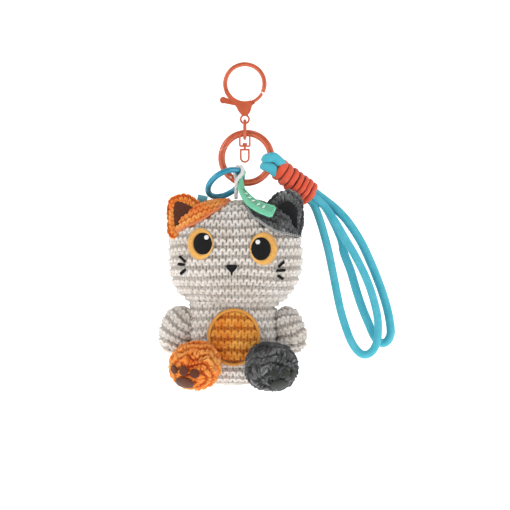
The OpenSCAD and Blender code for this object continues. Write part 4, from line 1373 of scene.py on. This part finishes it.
def sheet_normals(grid, facing):
    normal = np.cross(np.roll(grid, -1, 1) - np.roll(grid, 1, 1), np.gradient(grid, axis=0))
    normal = normal / np.maximum(np.linalg.norm(normal, axis=-1, keepdims=True), 1e-9)
    return -normal if (normal[:, :, 1] * facing[:, None]).mean() < 0 else normal


def ear(side, slot, felt, seed):
    y, thick, lean = EAR_PLACE[side]
    form = EarFront(EAR_OUTLINES[side], y, thick - 0.3, lean)
    outline = spaced(smooth(EAR_OUTLINES[side], 10, closed=True), EAR_STEP, closed=True)
    grid, facing = form.sheet(outline)
    normal = sheet_normals(grid, facing)
    run = np.concatenate([[0], np.cumsum(np.linalg.norm(np.diff(grid, axis=0), axis=-1).mean(1))])
    run = run - run[len(grid) // 2]
    perimeter = np.linalg.norm(outline - np.roll(outline, 1, 0), axis=1).sum()
    wave = Wander(seed, 14.0, 0.6)(grid)
    stitches = round(perimeter / CHUNKY.width)
    across = np.arange(len(outline))[None] / len(outline) * stitches + wave / CHUNKY.width
    relief, layers = CHUNKY(across, (run[:, None] + wave) / (2 * CHUNKY.course) + 0.35)
    relief = 0.85 * relief + 0.25 + Wander(seed + 4, 11.0, 0.15)(grid)
    covered = inside_polygon(grid[..., 0], grid[..., 2], LININGS[side]) & (facing[:, None] < 0)
    relief = np.where(covered, np.minimum(relief, -0.55), relief)
    piece("ear_" + side, closed_grid(grid + normal * relief[..., None], layers), slot, "cat")
    patch = spaced(smooth(LININGS[side], 8, closed=True), 0.5, closed=True)
    lining = lens(form, patch, -0.1, 0.35, seed=seed, fuzz=0.04)
    piece("ear_%s_lining" % side, lining, felt, "cat")


def inside_polygon(x, z, polygon):
    inside = np.zeros(x.shape, bool)
    p = np.asarray(polygon, float)
    for a, b in zip(p, np.roll(p, -1, 0)):
        crosses = (a[1] > z) != (b[1] > z)
        at = a[0] + (z - a[1]) / (b[1] - a[1] + 1e-12) * (b[0] - a[0])
        inside ^= crosses & (x < at)
    return inside


def body():
    high = BODY.run_at(NECK_Z - BODY_AT[2] + 3.4)
    shape = knit_block(BODY, STITCHES, 0.42, 0.62, high=high, seed=31, shape=body_relief)
    piece("body_shell", shape, "cream_knit", "cat")


def belly():
    """The knitted oval on the front of the body."""
    r = np.linspace(0.02, 1, 72)
    a = circle(220)
    inner = np.array(BELLY_HALF) - 0.9
    x = BELLY_AT[0] + inner[0] * r[:, None] * np.cos(a)
    z = BELLY_AT[1] + inner[1] * r[:, None] * np.sin(a)
    wave = Wander(41, 18.0, 0.25)(np.stack([x, np.zeros(x.shape), z], -1))
    across = (x + wave) / (CHUNKY.width * 1.06)
    relief, layers = CHUNKY(across, (z + wave) / (2 * CHUNKY.course * 1.12) + 0.2)
    lift = 0.8 * relief + 0.95 - 1.0 * fade(r, 0.9, 1.0)[:, None]
    top = BODY.front(x, z, lift)[0]
    low = BODY.front(x, z, np.full(x.shape, -1.2))[0]
    both = {name: np.concatenate([values, values[::-1]]) for name, values in layers.items()}
    shape = flipped(closed_grid(np.concatenate([top, low[::-1]]), both))
    piece("belly_patch", shape, "mustard_knit", "cat")


def belly_border():
    inner = np.array(BELLY_HALF) - BORDER_WIDTH
    border = satin_ring(BODY, BELLY_AT, BELLY_HALF, BELLY_AT, inner, 0.35, 0.75, pitch=0.55, slant=0.11)
    piece("belly_border", border, "mustard_knit", "cat", finish="border_mustard")


def neck_thread():
    """Ladder stitches that close the neck."""
    e = 2 / BODY_SQUARE
    level = NECK_Z - 0.6
    shrink = (1 - abs((level - BODY_AT[2]) / BODY_HALF[2]) ** BODY_SQUARE) ** (1 / BODY_SQUARE)
    a = circle(64)
    x = BODY_AT[0] + (BODY_HALF[0] * shrink - 1.0) * power(np.cos(a), e)
    y = BODY_AT[1] + (BODY_HALF[1] * shrink - 1.0) * power(np.sin(a), e)
    at = np.stack([x, y, np.full(a.shape, level)], 1)
    along = unit(np.roll(at, -1, 0) - np.roll(at, 1, 0) + np.array([0, 0, 0.9]))
    out = unit(np.stack([x - BODY_AT[0], y - BODY_AT[1], np.zeros(a.shape)], 1))
    shape = beads(at, along, unit(np.cross(out, along)), (1.5, 0.45, 0.5))
    piece("neck_seam", shape, "white_thread", "cat")


def arm(i, side):
    block = Block(ARM_AT[i], ARM_HALF[i], LIMB_SQUARE, turned(ARM_TILT[i], 1))
    shape = knit_block(block, CHUNKY, 0.38, 0.42, seed=51 + i, slip=1.1, wave=20.0, lift=0.2)
    piece("arm_" + side, shape, "cream_knit", "arm_" + side)


def foot(i, side):
    """A foot ball and the felt pads sewn on its front."""
    def pressed_by_pads(points, relief):
        return under_pads(points, relief, PADS[i])

    shape = knit_block(foot_block(i), CHUNKY, 0.36, 0.36, seed=61 + i, slip=1.1, wave=10.0, lift=0.25,
                       deep=1.3, shape=pressed_by_pads)
    piece("foot_" + side, shape, ("orange_knit", "grey_knit")[i], "leg_" + side)
    pads = [lens(foot_front(i), oval_outline(*pad), 0.0, 0.5, seed=7 + k, fuzz=0.05)
            for k, pad in enumerate(PADS[i])]
    piece("paw_pads_" + side, joined(pads), ("brown_felt", "green_felt")[i], "leg_" + side)


def tail():
    block = Block(TAIL_AT, TAIL_HALF, LIMB_SQUARE, turned(TAIL_TILT, 0))
    piece("tail", knit_block(block, CHUNKY, 0.36, 0.36, seed=71), "grey_knit", "cat")

# ---- Stage ----


def make_stage():
    """A pale sweep: floor, curve and wall in one sheet."""
    floor, wall, bend, half = -0.262, 3.2, 0.9, 6.0
    profile = [(-4.0, floor), (wall - bend - 0.1, floor)]
    for a in np.linspace(0, math.pi / 2, 17):
        profile.append((wall - bend + bend * math.sin(a), floor + bend - bend * math.cos(a)))
    profile.append((wall, 5.0))
    points = [(x, y, z) for y, z in profile for x in (-half, half)]
    faces = [[2 * i, 2 * i + 1, 2 * i + 3, 2 * i + 2] for i in range(len(profile) - 1)]
    mesh = bpy.data.meshes.new("floor")
    mesh.from_pydata(points, [], faces)
    mesh.shade_smooth()
    f = Finish("pale_floor", (0.93, 0.93, 0.93), 0.9, Emission_Color=(1, 1, 1, 1), Emission_Strength=0.80)
    grain = f.noise(2.0, 3.0)
    f.color_from(f.ramp(grain, (0.0, (0.91, 0.91, 0.91)), (1.0, (0.95, 0.95, 0.95))))
    mesh.materials.append(f.material)
    add_object("floor", mesh)


def area_light(name, at, aim, size, power_w, color=(1, 1, 1)):
    data = bpy.data.lights.new(name, "AREA")
    data.shape = "RECTANGLE"
    data.size, data.size_y = size
    data.energy = power_w
    data.color = color
    light = add_object(name, data)
    light.location = at
    toward = Vector(aim) - Vector(at)
    light.rotation_euler = toward.to_track_quat("-Z", "Y").to_euler()


def make_lights():
    aim = (0, 0, -0.1)
    area_light("key", (-0.85, -0.5, 0.4), aim, (0.6, 0.6), 5.6, (1.0, 0.985, 0.96))
    area_light("fill", (0.95, -0.35, 0.15), aim, (0.8, 0.8), 3.8, (0.96, 0.98, 1.0))
    area_light("top", (0.1, 0.1, 0.8), aim, (0.7, 0.7), 2.4)
    world = bpy.data.worlds.new("sky")
    world.use_nodes = True
    background = world.node_tree.nodes["Background"]
    background.inputs["Color"].default_value = (1, 1, 1, 1)
    background.inputs["Strength"].default_value = 0.30
    bpy.context.scene.world = world
    bpy.context.scene.view_settings.view_transform = "Standard"


make_camera()
strap_loops()
strap_bights()
strap_binding()
strap_core()
hardware()
inner_parts()
hang_loop()
silicone_tag()
side_label()
head()
eyes()
nose()
whiskers()
ear("left", "orange_knit", "brown_felt", 81)
ear("right", "grey_knit", "black_felt", 85)
body()
belly()
belly_border()
neck_thread()
for i, side in enumerate(SIDES):
    arm(i, side)
    foot(i, side)
tail()
make_stage()
make_lights()
